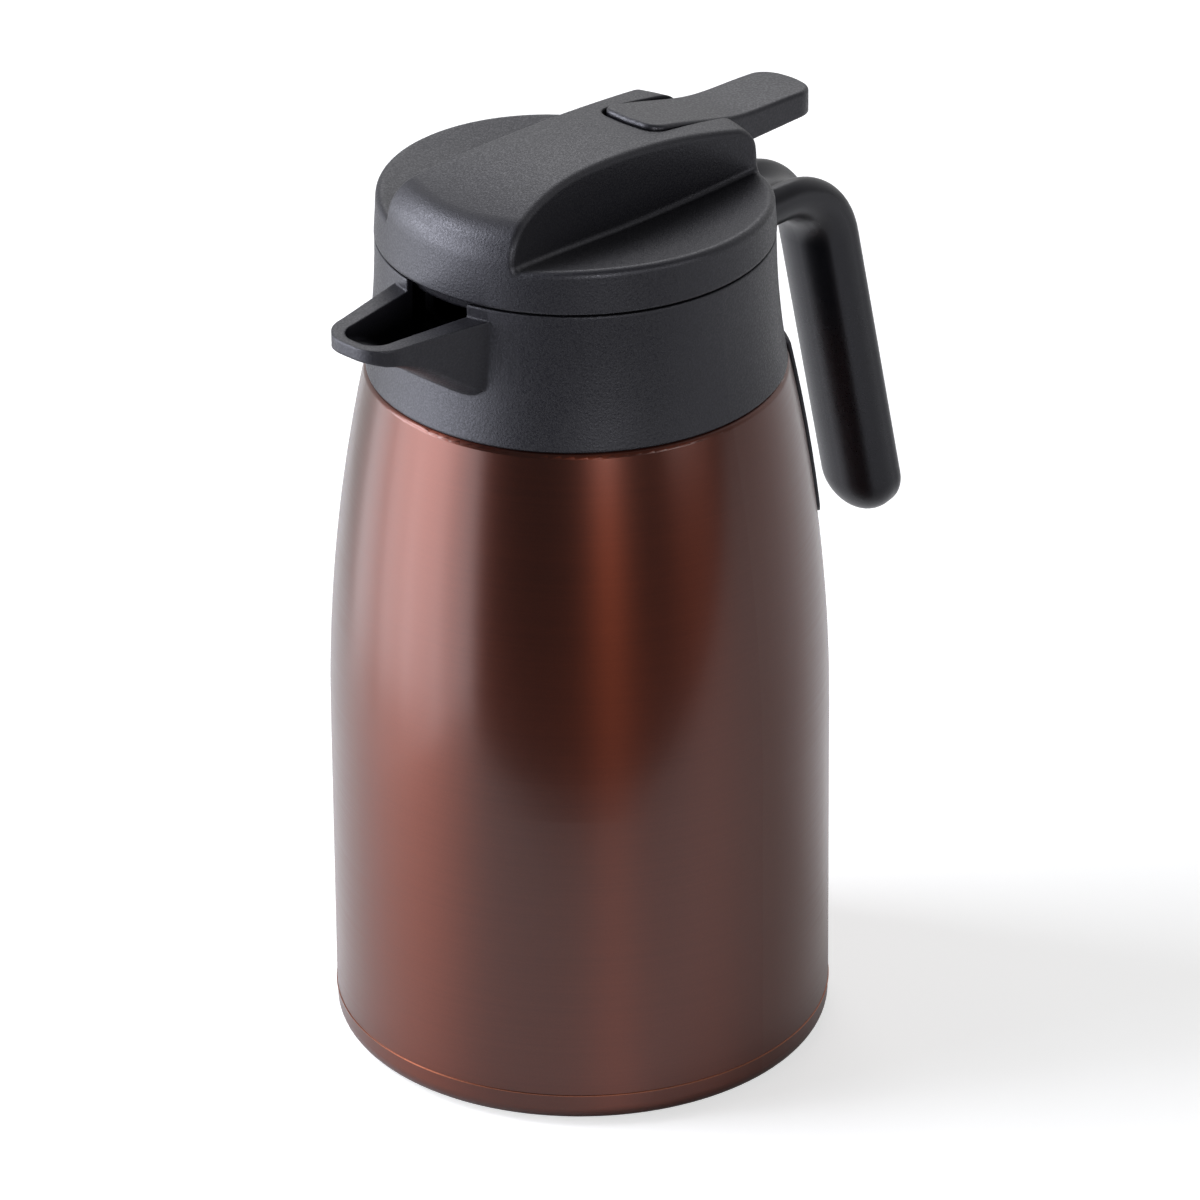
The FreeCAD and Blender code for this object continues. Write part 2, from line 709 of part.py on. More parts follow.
def make_lid_cover():
    """Moulded shell of the lid with its inner bosses, spring cup and the lever's slot."""
    cover = soft_lid_form().cut(lid_form(LID_WALL))
    skin = lid_form(LID_WALL / 2)
    plate_top = PLUG_PLATE_Z + PLUG_PLATE_T
    extras = []
    for x, y in LID_SCREW_PLACES:
        column = rod(LID_BOSS_R, point(x, y, LID_LOW_Z), Z_AXIS, FAR).common(skin)
        foot = rod(LID_BOSS_R, point(x, y, plate_top), Z_AXIS, LID_LOW_Z - plate_top)
        extras += [column, foot]
    for side in (-1, 1):
        start = point(side * (LEVER_HALF_W + LEVER_GAP + STEM_PLAY), LEVER_PIN_Y, LEVER_PIN_Z)
        extras.append(rod(LEVER_HUB_R, start, X_AXIS * side, FAR).common(skin))
    cup_foot = point(0, 0, SPRING_CUP_LOW_Z)
    cup = rod(SPRING_CUP_R + SPRING_CUP_WALL, cup_foot, Z_AXIS, FAR).common(skin)
    extras.append(cup.cut(rod(SPRING_CUP_R, cup_foot, Z_AXIS, SPRING_TOP_Z - SPRING_CUP_LOW_Z)))
    cover = cover.fuse(extras)
    slot = lever_plan(LEVER_GAP, LEVER_NOSE_GAP)
    slot.translate(Z_AXIS * SLOT_LOW_Z)
    cover = cover.cut(slot.extrude(Z_AXIS * FAR))
    pin_start = point(-LEVER_PIN_HALF, LEVER_PIN_Y, LEVER_PIN_Z)
    holes = [rod(LEVER_PIN_R, pin_start, X_AXIS, 2 * LEVER_PIN_HALF)]
    for x, y in LID_SCREW_PLACES:
        holes.append(rod(LID_SCREW_R, point(x, y, plate_top - 1), Z_AXIS, LID_SCREW_TOP_Z - plate_top + 1))
    return cover.cut(holes).removeSplitter().Solids[0]


# Stopper

def make_stopper_body():
    """Plug under the cover: closing plate, tube with pouring windows, step, lower tube and stem guide."""
    plate_top = PLUG_PLATE_Z + PLUG_PLATE_T
    inner_r = PLUG_R - PLUG_WALL
    low_inner_r = PLUG_LOW_R - PLUG_WALL
    tube = turned_section((
        (low_inner_r, PLUG_LOW_Z),
        (PLUG_LOW_R, PLUG_LOW_Z),
        (PLUG_LOW_R, PLUG_STEP_Z),
        (PLUG_R, PLUG_STEP_Z),
        (PLUG_R, PLUG_PLATE_Z),
        (PLUG_PLATE_R, PLUG_PLATE_Z),
        (PLUG_PLATE_R, plate_top),
        (0, plate_top),
        (0, PLUG_PLATE_Z),
        (inner_r, PLUG_PLATE_Z),
        (inner_r, PLUG_STEP_Z + PLUG_WALL),
        (low_inner_r, PLUG_STEP_Z + PLUG_WALL),
    ))
    guide = rod(GUIDE_R, point(0, 0, GUIDE_LOW_Z), Z_AXIS, GUIDE_TOP_Z - GUIDE_LOW_Z)
    solid = tube.fuse(guide)
    window = rounded_face((
        (inner_r - 1, WINDOW_LOW_Z), (PLUG_R + 1, WINDOW_LOW_Z), (PLUG_R + 1, WINDOW_TOP_Z),
        (inner_r - 1, WINDOW_TOP_Z)), half_plane)
    cuts = [rod(STEM_R + STEM_PLAY, point(0, 0, GUIDE_LOW_Z - 1), Z_AXIS, FAR)]
    packing_h = GUIDE_TOP_Z - STEM_PACKING_LOW_Z
    cuts.append(rod(STEM_PACKING_R, point(0, 0, STEM_PACKING_LOW_Z), Z_AXIS, packing_h))
    for index in range(WINDOW_COUNT):
        opening = window.copy()
        opening.rotate(ORIGIN, Z_AXIS, index * 360 / WINDOW_COUNT - 90 - WINDOW_ANGLE / 2)
        cuts.append(turn(opening, WINDOW_ANGLE))
    for x, y in LID_SCREW_PLACES:
        cuts.append(rod(LID_SCREW_R + STEM_PLAY, point(x, y, PLUG_PLATE_Z - 1), Z_AXIS, PLUG_PLATE_T + 2))
    return solid.cut(cuts).removeSplitter().Solids[0]


def make_stopper_base():
    """Screwed-in bottom of the plug, with the valve seat and the shelf for the packing."""
    floor_top = PLUG_FLOOR_Z + PLUG_FLOOR_T
    spigot_r = PLUG_LOW_R - PLUG_WALL - APRON_GAP
    return turned_section((
        (SEAT_HOLE_R, PLUG_FLOOR_Z), (PLUG_LOW_R, PLUG_FLOOR_Z, 1.0), (PLUG_LOW_R, floor_top),
        (spigot_r, floor_top), (spigot_r, SPIGOT_TOP_Z), (spigot_r - PLUG_WALL, SPIGOT_TOP_Z),
        (spigot_r - PLUG_WALL, floor_top), (SEAT_HOLE_R, floor_top),
    ))


def make_lid_packing():
    """Silicone ring on the plug, with two sealing lips."""
    low = PLUG_FLOOR_Z + PLUG_FLOOR_T
    inner_r = PLUG_LOW_R - PLUG_WALL - APRON_GAP + RUNNING_GAP
    lip = PACKING_H / 3
    waist_r = PACKING_R - 0.9
    return turned_section((
        (inner_r, low),
        (waist_r, low),
        (PACKING_R, low + lip / 2),
        (waist_r, low + lip),
        (waist_r, low + 2 * lip),
        (PACKING_R, low + 2.5 * lip),
        (waist_r, low + PACKING_H),
        (inner_r, low + PACKING_H),
    ))


def make_lid_screws():
    """Four screws from below the plug's plate into the cover's bosses."""
    screws = []
    for x, y in LID_SCREW_PLACES:
        head = rod(LID_SCREW_HEAD_R, point(x, y, PLUG_PLATE_Z - LID_SCREW_HEAD_T), Z_AXIS, LID_SCREW_HEAD_T)
        shank = rod(LID_SCREW_R, point(x, y, PLUG_PLATE_Z), Z_AXIS, LID_SCREW_TOP_Z - PLUG_PLATE_Z)
        screws.append(head.fuse(shank).removeSplitter().Solids[0])
    return Part.makeCompound(screws)


def make_stem_packing():
    return ring(STEM_R + STEM_PLAY, STEM_PACKING_R, STEM_PACKING_LOW_Z, STEM_PACKING_TOP_Z)


# Lever

def make_lever():
    """Thumb lever: flush nose, level pad hollow underneath, hub on the pin and a fork to the valve."""
    thumb = curve([point(0, y, z) for y, z in LEVER_TOP])
    front, back = (end.Point for end in thumb.Vertexes)
    outline = [
        back,
        point(0, back.y, LEVER_LOW_Z),
        point(0, LEVER_PIN_Y - LEVER_HUB_R, LEVER_LOW_Z),
        point(0, LEVER_NOSE_Y + LEVER_NOSE_R, LEVER_NOSE_LOW_Z),
        point(0, front.y, LEVER_NOSE_LOW_Z),
        front,
    ]
    side = Part.Face(Part.Wire([thumb, *(line(a, b) for a, b in zip(outline, outline[1:]))]))
    side.translate(X_AXIS * -FAR / 2)
    plan = lever_plan()
    plan.translate(Z_AXIS * (LEVER_LOW_Z - 1))
    blade = side.extrude(X_AXIS * FAR).common(plan.extrude(Z_AXIS * FAR)).Solids[0]
    faces_up = [face for face in blade.Faces if face.CenterOfMass.z > LEVER_TOP[-1][1]]
    thumb_face = max(faces_up, key=lambda face: face.Area)
    blade = blade.makeFillet(LEVER_EDGE_R, thumb_face.Edges).Solids[0]
    pocket = rounded_face([
        (x * (LEVER_HALF_W - LEVER_WALL), y, LEVER_TIP_R - LEVER_WALL)
        for x, y in ((-1, LEVER_POCKET_Y), (1, LEVER_POCKET_Y), (1, LEVER_POCKET_END), (-1, LEVER_POCKET_END))
    ], lambda x, y: point(x, y, LEVER_LOW_Z))
    solid = blade.cut(pocket.extrude(Z_AXIS * LEVER_POCKET_H))
    fork_low = FORK_END_Z - FORK_END_R
    fork_top = FORK_END_Z + FORK_END_R / 2
    fork = rounded_face((
        (0, fork_low),
        (FORK_RISE_Y, fork_low, 2.0),
        (LEVER_PIN_Y + 1, LEVER_LOW_Z),
        (LEVER_PIN_Y - 3, LEVER_LOW_Z + 4),
        (FORK_RISE_Y - 1, fork_top, 2.0),
        (0, fork_top),
    ), lambda y, z: point(FORK_IN, y, z))
    for start in (FORK_IN, -FORK_OUT):
        arm = fork.copy()
        arm.translate(X_AXIS * (start - FORK_IN))
        tip = rod(FORK_END_R, point(start, 0, FORK_END_Z), X_AXIS, FORK_OUT - FORK_IN)
        solid = solid.fuse([arm.extrude(X_AXIS * (FORK_OUT - FORK_IN)), tip])
    hub_start = point(-LEVER_HALF_W, LEVER_PIN_Y, LEVER_PIN_Z)
    hub = rod(LEVER_HUB_R, hub_start, X_AXIS, 2 * LEVER_HALF_W)
    hole = rod(LEVER_PIN_R + LEVER_PIN_PLAY, hub_start, X_AXIS, 2 * LEVER_HALF_W)
    return solid.fuse(hub).cut(hole).removeSplitter().Solids[0]


def make_lever_pin():
    return rod(LEVER_PIN_R, point(-LEVER_PIN_HALF, LEVER_PIN_Y, LEVER_PIN_Z), X_AXIS, 2 * LEVER_PIN_HALF)


# Valve

def valve_low_z():
    """Underside of the valve head, above its seal and the seat."""
    return PLUG_FLOOR_Z + PLUG_FLOOR_T + VALVE_SEAL_GAP + VALVE_SEAL_T


def make_valve_plug():
    """Valve head with a hub for the stem and a knob that holds the seal."""
    low = valve_low_z()
    seal_low = low - VALVE_SEAL_T
    hub_top = low + VALVE_T + VALVE_HUB_H
    neck_r = VALVE_KNOB_R - 2
    return turned_section((
        (0, seal_low - 2),
        (VALVE_KNOB_R, seal_low - 2, 0.8),
        (VALVE_KNOB_R, seal_low),
        (neck_r, seal_low),
        (neck_r, low),
        (VALVE_R, low),
        (VALVE_R, low + VALVE_T / 2),
        (VALVE_HUB_R, low + VALVE_T),
        (VALVE_HUB_R, hub_top),
        (STEM_R, hub_top),
        (STEM_R, STEM_LOW_Z),
        (0, STEM_LOW_Z),
    ))


def make_valve_seal():
    low = valve_low_z()
    return ring(VALVE_KNOB_R - 2, VALVE_SEAL_R, low - VALVE_SEAL_T, low)


def make_valve_stem():
    """Rod with a step that carries the spring seat and a groove for the clip."""
    groove = STEM_STEP_Z + SEAT_T + SEAT_HUB_H
    return turned_section((
        (0, STEM_LOW_Z),
        (STEM_R, STEM_LOW_Z),
        (STEM_R, STEM_STEP_Z),
        (STEM_TIP_R, STEM_STEP_Z),
        (STEM_TIP_R, groove),
        (CLIP_GROOVE_R, groove),
        (CLIP_GROOVE_R, groove + CLIP_T),
        (STEM_TIP_R, groove + CLIP_T),
        (STEM_TIP_R, STEM_TOP_Z, 0.6),
        (0, STEM_TOP_Z),
    ))


def make_spring_seat():
    """Flange on the stem: the fork lifts it from below and the spring presses on it from above."""
    top = STEM_STEP_Z + SEAT_T
    return turned_section((
        (STEM_TIP_R, STEM_STEP_Z), (SEAT_R, STEM_STEP_Z), (SEAT_R, top), (SEAT_HUB_R, top),
        (SEAT_HUB_R, top + SEAT_HUB_H), (STEM_TIP_R, top + SEAT_HUB_H),
    ))


def make_stem_clip():
    """Open clip in the stem's groove."""
    low = STEM_STEP_Z + SEAT_T + SEAT_HUB_H
    clip = ring(CLIP_GROOVE_R, CLIP_R, low, low + CLIP_T)
    half = CLIP_MOUTH / 2
    return clip.cut(box(-half, half, 0, FAR, low - 1, low + 2)).Solids[0]


def make_valve_spring():
    """Coil spring: one unbroken tube along arcs of a quarter turn."""
    low = STEM_STEP_Z + SEAT_T + SPRING_WIRE_R
    rise = SPRING_TOP_Z - SPRING_WIRE_R - low
    quarters = SPRING_TURNS * 4

    def on_coil(quarter):
        angle = quarter * math.pi / 2
        height = low + rise * quarter / quarters
        return point(SPRING_COIL_R * math.cos(angle), SPRING_COIL_R * math.sin(angle), height)

    path = Part.Wire([arc(on_coil(q), on_coil(q + 0.5), on_coil(q + 1)) for q in range(quarters)])
    start = path.Edges[0]
    heading = start.tangentAt(start.FirstParameter)
    section = Part.Wire(Part.makeCircle(SPRING_WIRE_R, on_coil(0), heading))
    pipe = Part.BRepOffsetAPI.MakePipeShell(path)
    pipe.add(section)
    pipe.build()
    pipe.makeSolid()
    samples = [on_coil(quarters * index / 400) for index in range(401)]
    apart = 401 * 3 // (4 * SPRING_TURNS)
    nearest = min(a.distanceToPoint(b) for i, a in enumerate(samples) for b in samples[i + apart:])
    gap = nearest - 2 * SPRING_WIRE_R
    print("valve spring: least gap to itself", round(gap, 2), "mm")
    return pipe.shape()


PIECES = {
    "outer_shell": make_outer_shell,
    "inner_bottle": make_inner_bottle,
    "shell_bottom": make_shell_bottom,
    "getter": make_getter,
    "base_cap": make_base_cap,
    "base_pad": make_base_pad,
    "collar": make_collar,
    "neck_ring": make_neck_ring,
    "collar_gasket": make_collar_gasket,
    "mouth_gasket": make_mouth_gasket,
    "handle": make_handle,
    "handle_screws": make_handle_screws,
    "lid_cover": make_lid_cover,
    "stopper_body": make_stopper_body,
    "stopper_base": make_stopper_base,
    "lid_packing": make_lid_packing,
    "lid_screws": make_lid_screws,
    "lever": make_lever,
    "lever_pin": make_lever_pin,
    "stem_packing": make_stem_packing,
    "valve_stem": make_valve_stem,
    "valve_plug": make_valve_plug,
    "valve_seal": make_valve_seal,
    "spring_seat": make_spring_seat,
    "stem_clip": make_stem_clip,
    "valve_spring": make_valve_spring,
}

os.makedirs("parts", exist_ok=True)
for name, make in PIECES.items():
    shape = make()
    shape.exportStep("parts/" + name + ".step")
    state = "valid" if shape.isValid() else "not valid"
    print(name, len(shape.Solids), state, round(shape.Volume / 1000, 2), "cm3")
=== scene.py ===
import logging
import math
from collections.abc import Callable
from dataclasses import dataclass, field
from enum import Enum

import bpy
from mathutils import Matrix, Vector

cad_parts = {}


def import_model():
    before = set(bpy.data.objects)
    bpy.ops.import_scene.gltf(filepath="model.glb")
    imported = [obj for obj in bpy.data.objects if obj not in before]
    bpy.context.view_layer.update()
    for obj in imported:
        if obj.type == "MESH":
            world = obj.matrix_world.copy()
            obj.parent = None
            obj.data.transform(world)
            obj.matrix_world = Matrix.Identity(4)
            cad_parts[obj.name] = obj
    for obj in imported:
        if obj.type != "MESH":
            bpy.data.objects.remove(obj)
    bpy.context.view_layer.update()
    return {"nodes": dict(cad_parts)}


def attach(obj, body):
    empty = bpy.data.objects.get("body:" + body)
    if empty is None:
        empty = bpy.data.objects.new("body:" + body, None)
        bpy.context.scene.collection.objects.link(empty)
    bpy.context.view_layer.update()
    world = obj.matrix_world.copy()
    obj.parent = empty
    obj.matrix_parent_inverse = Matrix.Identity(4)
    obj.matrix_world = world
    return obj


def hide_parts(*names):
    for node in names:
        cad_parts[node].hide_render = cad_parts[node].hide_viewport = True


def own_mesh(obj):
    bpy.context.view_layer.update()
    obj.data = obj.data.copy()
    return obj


Piece = bpy.types.Object
Material = bpy.types.Material
Tree = bpy.types.NodeTree
Socket = bpy.types.NodeSocket
Pair = tuple[float, float]
Triple = tuple[float, float, float]

LOG = logging.getLogger("thermal_pot")
WHITE = (1.0, 1.0, 1.0, 1.0)
UNIT = (0.0, 1.0)
ORIGIN = (0.0, 0.0, 0.0)

# Tint of the light from the window side.
DAYLIGHT = (0.96, 0.98, 1.04)

# A face lies level when its normal has at least this much along Z.
LEVEL = 0.9


class Body(Enum):
    """Rigid bodies of the pot that the new pieces ride on."""

    POT = "pot"
    LID = "lid"
    LID_SEAL = "lid_seal"


class Graph:
    """Small helper that places and links shader nodes in one tree."""

    SPACING = 190
    MIX_LOW = 6
    MIX_HIGH = 7
    MIX_RESULT = 2

    def __init__(self, tree: Tree) -> None:
        """Keep the tree.

        Args:
            tree: node tree of a material, a world or a group.
        """
        self.tree = tree
        self.column = 0

    def add(self, kind: str, **settings: object) -> bpy.types.Node:
        """Place a node and set its properties.

        Args:
            kind: Blender's type name of the node.
            settings: properties of the node by name.

        Returns:
            The new node.
        """
        node = self.tree.nodes.new(kind)
        self.column += 1
        node.location = (self.column * self.SPACING, 0)
        for name, value in settings.items():
            setattr(node, name, value)
        return node

    def link(self, source: Socket, target: Socket) -> None:
        """Join an output to an input."""
        self.tree.links.new(source, target)

    def math(self, operation: str, first: object, second: object = None) -> Socket:
        """Place a Math node.

        Args:
            operation: name of the operation.
            first: socket or number for the first input.
            second: socket or number for the second input.

        Returns:
            The node's output.
        """
        node = self.add("ShaderNodeMath", operation=operation)
        for slot, value in enumerate((first, second)):
            if value is None:
                continue
            if isinstance(value, Socket):
                self.link(value, node.inputs[slot])
            else:
                node.inputs[slot].default_value = value
        return node.outputs[0]

    def blend(self, share: Socket, low: tuple, high: tuple) -> Socket:
        """Mix two colours.

        Args:
            share: how much of the second colour shows, 0 to 1.
            low: first colour.
            high: second colour.

        Returns:
            The mixed colour.
        """
        node = self.add("ShaderNodeMix", data_type="RGBA")
        self.link(share, node.inputs["Factor"])
        node.inputs[self.MIX_LOW].default_value = (*low, 1.0)
        node.inputs[self.MIX_HIGH].default_value = (*high, 1.0)
        return node.outputs[self.MIX_RESULT]

    def remap(self, value: Socket, source: tuple, target: tuple) -> Socket:
        """Map a value from one range to another, held at the ends.

        Args:
            value: the value to map.
            source: range that the value comes in.
            target: range that it goes out in.

        Returns:
            The mapped value.
        """
        node = self.add("ShaderNodeMapRange", clamp=True)
        self.link(value, node.inputs["Value"])
        node.inputs["From Min"].default_value = source[0]
        node.inputs["From Max"].default_value = source[1]
        node.inputs["To Min"].default_value = target[0]
        node.inputs["To Max"].default_value = target[1]
        return node.outputs["Result"]

    def noise(self, place: Socket, scale: object, detail: float) -> Socket:
        """Place a Noise texture.

        Args:
            place: where it is read.
            scale: socket or number for its scale.
            detail: how many finer layers it has.

        Returns:
            The noise, about 0.3 to 0.7.
        """
        node = self.add("ShaderNodeTexNoise")
        node.inputs["Detail"].default_value = detail
        self.link(place, node.inputs["Vector"])
        if isinstance(scale, Socket):
            self.link(scale, node.inputs["Scale"])
        else:
            node.inputs["Scale"].default_value = scale
        return node.outputs["Fac"]

    def rays(self) -> tuple[Socket, Socket]:
        """Tell the rays from the camera and the mirrored ones apart.

        Returns:
            Masks of camera rays, and of glossy or transmitted rays.
        """
        path = self.add("ShaderNodeLightPath")
        mirrored = self.math("MAXIMUM", path.outputs["Is Glossy Ray"], path.outputs["Is Transmission Ray"])
        return path.outputs["Is Camera Ray"], mirrored


class EffectGroups:
    """Shader groups that more than one finish uses, each built once."""

    GRAIN_TURN = (0.62, 0.35, 0.94)
    GRAIN_DETAIL = 2.0
    PIT_SMOOTHNESS = 0.6
    PIT_SCALE = 0.7
    PIT_HEIGHT = 0.6
    SPECK_SPAN = (0.42, 0.72)
    PATCH_DETAIL = 3.0
    PATCH_SPAN = (0.3, 0.7)
    RING_R = 0.1
    LINE_LAYERS = (1.0, 0.31)
    LINE_DETAIL = 3.0
    STREAK_SPAN = (0.75, 1.25)
    CLOUD_DETAIL = 5.0
    CLOUD_SPAN = (0.35, 0.7)

    def __init__(self) -> None:
        """Build the groups."""
        self.moulded_grain = self._moulded_grain()
        self.hairlines = self._hairlines()
        self.handling = self._handling()

    @staticmethod
    def _start(name: str, inputs: dict[str, float], outputs: tuple[str, ...]) -> tuple[Graph, dict, dict]:
        """Start a group that reads a place on the piece.

        Args:
            name: name of the group.
            inputs: number inputs with their usual values.
            outputs: names of the number outputs.

        Returns:
            The graph, its input sockets and its output sockets by name.
        """
        tree = bpy.data.node_groups.new(name, "ShaderNodeTree")
        tree.interface.new_socket("Place", in_out="INPUT", socket_type="NodeSocketVector")
        for label, usual in inputs.items():
            socket = tree.interface.new_socket(label, in_out="INPUT", socket_type="NodeSocketFloat")
            socket.default_value = usual
        for label in outputs:
            tree.interface.new_socket(label, in_out="OUTPUT", socket_type="NodeSocketFloat")
        graph = Graph(tree)
        entry = graph.add("NodeGroupInput")
        leave = graph.add("NodeGroupOutput")
        return graph, {s.name: s for s in entry.outputs}, {s.name: s for s in leave.inputs}

    def _moulded_grain(self) -> Tree:
        """Fine spark-eroded grain of moulded plastic.

        Returns:
            Group with the outputs Height, Speck and Shift.
        """
        inputs = {"Pitch": 1500.0, "Patch Scale": 22.0}
        graph, given, out = self._start("moulded_grain", inputs, ("Height", "Speck", "Shift"))
        turned = graph.add("ShaderNodeMapping")
        turned.inputs["Rotation"].default_value = self.GRAIN_TURN
        graph.link(given["Place"], turned.inputs["Vector"])
        fine = graph.noise(turned.outputs["Vector"], given["Pitch"], self.GRAIN_DETAIL)
        pits = graph.add("ShaderNodeTexVoronoi", feature="SMOOTH_F1")
        pits.inputs["Smoothness"].default_value = self.PIT_SMOOTHNESS
        graph.link(turned.outputs["Vector"], pits.inputs["Vector"])
        graph.link(graph.math("MULTIPLY", given["Pitch"], self.PIT_SCALE), pits.inputs["Scale"])
        hollow = graph.math("MULTIPLY", pits.outputs["Distance"], self.PIT_HEIGHT)
        graph.link(graph.math("ADD", fine, hollow), out["Height"])
        graph.link(graph.remap(fine, self.SPECK_SPAN, UNIT), out["Speck"])
        patch = graph.noise(given["Place"], given["Patch Scale"], self.PATCH_DETAIL)
        graph.link(graph.remap(patch, self.PATCH_SPAN, (-1.0, 1.0)), out["Shift"])
        return graph.tree

    def _hairlines(self) -> Tree:
        """Brushed lines that run round the axis, broken up along their length.

        Returns:
            Group with the outputs Height and Streak.
        """
        graph, given, out = self._start("hairlines", {"Lines": 2600.0, "Run": 9.0}, ("Height", "Streak"))
        split = graph.add("ShaderNodeSeparateXYZ")
        graph.link(given["Place"], split.inputs[0])
        turn = graph.math("ARCTAN2", split.outputs["Y"], split.outputs["X"])
        round_x = graph.math("MULTIPLY", graph.math("COSINE", turn), self.RING_R)
        round_y = graph.math("MULTIPLY", graph.math("SINE", turn), self.RING_R)
        layers = []
        for share in self.LINE_LAYERS:
            join = graph.add("ShaderNodeCombineXYZ")
            graph.link(graph.math("MULTIPLY", round_x, given["Run"]), join.inputs["X"])
            graph.link(graph.math("MULTIPLY", round_y, given["Run"]), join.inputs["Y"])
            lines = graph.math("MULTIPLY", split.outputs["Z"], given["Lines"])
            graph.link(graph.math("MULTIPLY", lines, share), join.inputs["Z"])
            layers.append(graph.noise(join.outputs[0], 1.0, self.LINE_DETAIL))
        graph.link(layers[0], out["Height"])
        streak = graph.math("ADD", layers[0], layers[1])
        graph.link(graph.remap(streak, self.STREAK_SPAN, UNIT), out["Streak"])
        return graph.tree

    def _handling(self) -> Tree:
        """Faint cloudy marks of use.

        Returns:
            Group with the output Mark.
        """
        graph, given, out = self._start("handling", {"Scale": 14.0}, ("Mark",))
        cloud = graph.noise(given["Place"], given["Scale"], self.CLOUD_DETAIL)
        graph.link(graph.remap(cloud, self.CLOUD_SPAN, UNIT), out["Mark"])
        return graph.tree


class Finish:
    """A material made of nodes on the piece's own coordinates."""

    EDGE_SAMPLES = 6

    def __init__(self, name: str) -> None:
        """Start a material with a shader and the object's coordinates.

        Args:
            name: name of the material.
        """
        self.material = bpy.data.materials.new(name)
        self.material.use_nodes = True
        self.graph = Graph(self.material.node_tree)
        self.shader = self.material.node_tree.nodes["Principled BSDF"]
        self.place = self.graph.add("ShaderNodeTexCoord").outputs["Object"]

    def effect(self, tree: Tree, **values: float) -> bpy.types.Node:
        """Place a shared group and give it its own values.

        Args:
            tree: the group.
            values: numbers by input name, with _ for a space.

        Returns:
            The group node.
        """
        node = self.graph.add("ShaderNodeGroup")
        node.node_tree = tree
        self.graph.link(self.place, node.inputs["Place"])
        for name, value in values.items():
            node.inputs[name.replace("_", " ")].default_value = value
        return node

    def bump(self, height: Socket, depth: float, strength: float, edge_r: float = 0.0) -> None:
        """Feed a height into the shader's normal.

        Args:
            height: the height, 0 to 1.
            depth: metres between 0 and 1.
            strength: how much of it shows.
            edge_r: radius that breaks the sharp edges of the piece.
        """
        node = self.graph.add("ShaderNodeBump")
        if edge_r:
            soft = self.graph.add("ShaderNodeBevel", samples=self.EDGE_SAMPLES)
            soft.inputs["Radius"].default_value = edge_r
            self.graph.link(soft.outputs["Normal"], node.inputs["Normal"])
        node.inputs["Strength"].default_value = strength
        node.inputs["Distance"].default_value = depth
        self.graph.link(height, node.inputs["Height"])
        self.graph.link(node.outputs["Normal"], self.shader.inputs["Normal"])

    def wear(self, mask: Socket, middle: float, spread: float) -> Socket:
        """Vary a roughness round its middle value with a mask of 0 to 1.

        Args:
            mask: what it follows.
            middle: the roughness at half of the mask.
            spread: how much it rises from 0 to 1, or falls if negative.

        Returns:
            The roughness.
        """
        return self.graph.remap(mask, UNIT, (middle - spread / 2, middle + spread / 2))

    def fix(self, **values: object) -> None:
        """Set plain numbers or colours on the shader's own sockets."""
        for name, value in values.items():
            self.shader.inputs[name.replace("_", " ")].default_value = value


@dataclass(frozen=True)
class MetallicLacquer:
    """Clear coat over a brown metallic coat on steel that is brushed round the axis."""

    name: str
    shade: Triple = (0.085, 0.0158, 0.0061)
    light: Triple = (0.101, 0.0190, 0.0074)
    roughness: float = 0.42
    spread: float = 0.03
    lines: float = 3600.0
    line_depth: float = 0.0000012
    line_strength: float = 0.4
    flake_pitch: float = 2400.0
    mark_scale: float = 9.0
    mark_rough: float = 0.03
    coat: float = 0.8
    coat_roughness: float = 0.22
    coat_ior: float = 1.6
    anisotropy: float = 0.75
    brush_turn: float = 0.25
    # Height band, tone range and colour of the painted shade that darkens the lower edge.
    painted_shade_band: Pair = (0.0, 0.0)
    painted_shade_tone: Pair = (0.85, 1.0)
    painted_shade_colour: Triple = (0.012, 0.0040, 0.0026)

    def make(self, groups: EffectGroups) -> Material:
        """Build the material.

        Args:
            groups: the shared effects.

        Returns:
            The material.
        """
        finish = Finish(self.name)
        graph = finish.graph
        lines = finish.effect(groups.hairlines, Lines=self.lines)
        flake = finish.effect(groups.moulded_grain, Pitch=self.flake_pitch)
        marks = finish.effect(groups.handling, Scale=self.mark_scale)
        tone = graph.math("MULTIPLY", graph.math("ADD", lines.outputs["Streak"], flake.outputs["Speck"]), 0.5)
        low = self.shade
        # Painted shade: below the top of the band, the base colour darkens to a near-black brown and the coat
        # thins out. This stands in for the shadow and dark reflection where the pot meets the floor.
        if self.painted_shade_band[1] > 0.0:
            low = self.painted_shade_colour
            split = graph.add("ShaderNodeSeparateXYZ")
            graph.link(finish.place, split.inputs[0])
            painted_shade_fade = graph.remap(split.outputs["Z"], self.painted_shade_band, UNIT)
            tone = graph.math("MULTIPLY", graph.remap(tone, UNIT, self.painted_shade_tone), painted_shade_fade)
            graph.link(graph.math("MULTIPLY", painted_shade_fade, self.coat), finish.shader.inputs["Coat Weight"])
        graph.link(graph.blend(tone, low, self.light), finish.shader.inputs["Base Color"])
        rough = finish.wear(lines.outputs["Streak"], self.roughness, self.spread)
        rough = graph.math("ADD", rough, graph.math("MULTIPLY", marks.outputs["Mark"], self.mark_rough))
        graph.link(rough, finish.shader.inputs["Roughness"])
        finish.bump(lines.outputs["Height"], self.line_depth, self.line_strength)
        finish.fix(Metallic=1.0, Anisotropic=self.anisotropy, Anisotropic_Rotation=self.brush_turn,
                   Coat_Weight=self.coat, Coat_Roughness=self.coat_roughness, Coat_IOR=self.coat_ior)
        tangent = graph.add("ShaderNodeTangent", direction_type="RADIAL", axis="Z")
        graph.link(tangent.outputs[0], finish.shader.inputs["Tangent"])
        return finish.material


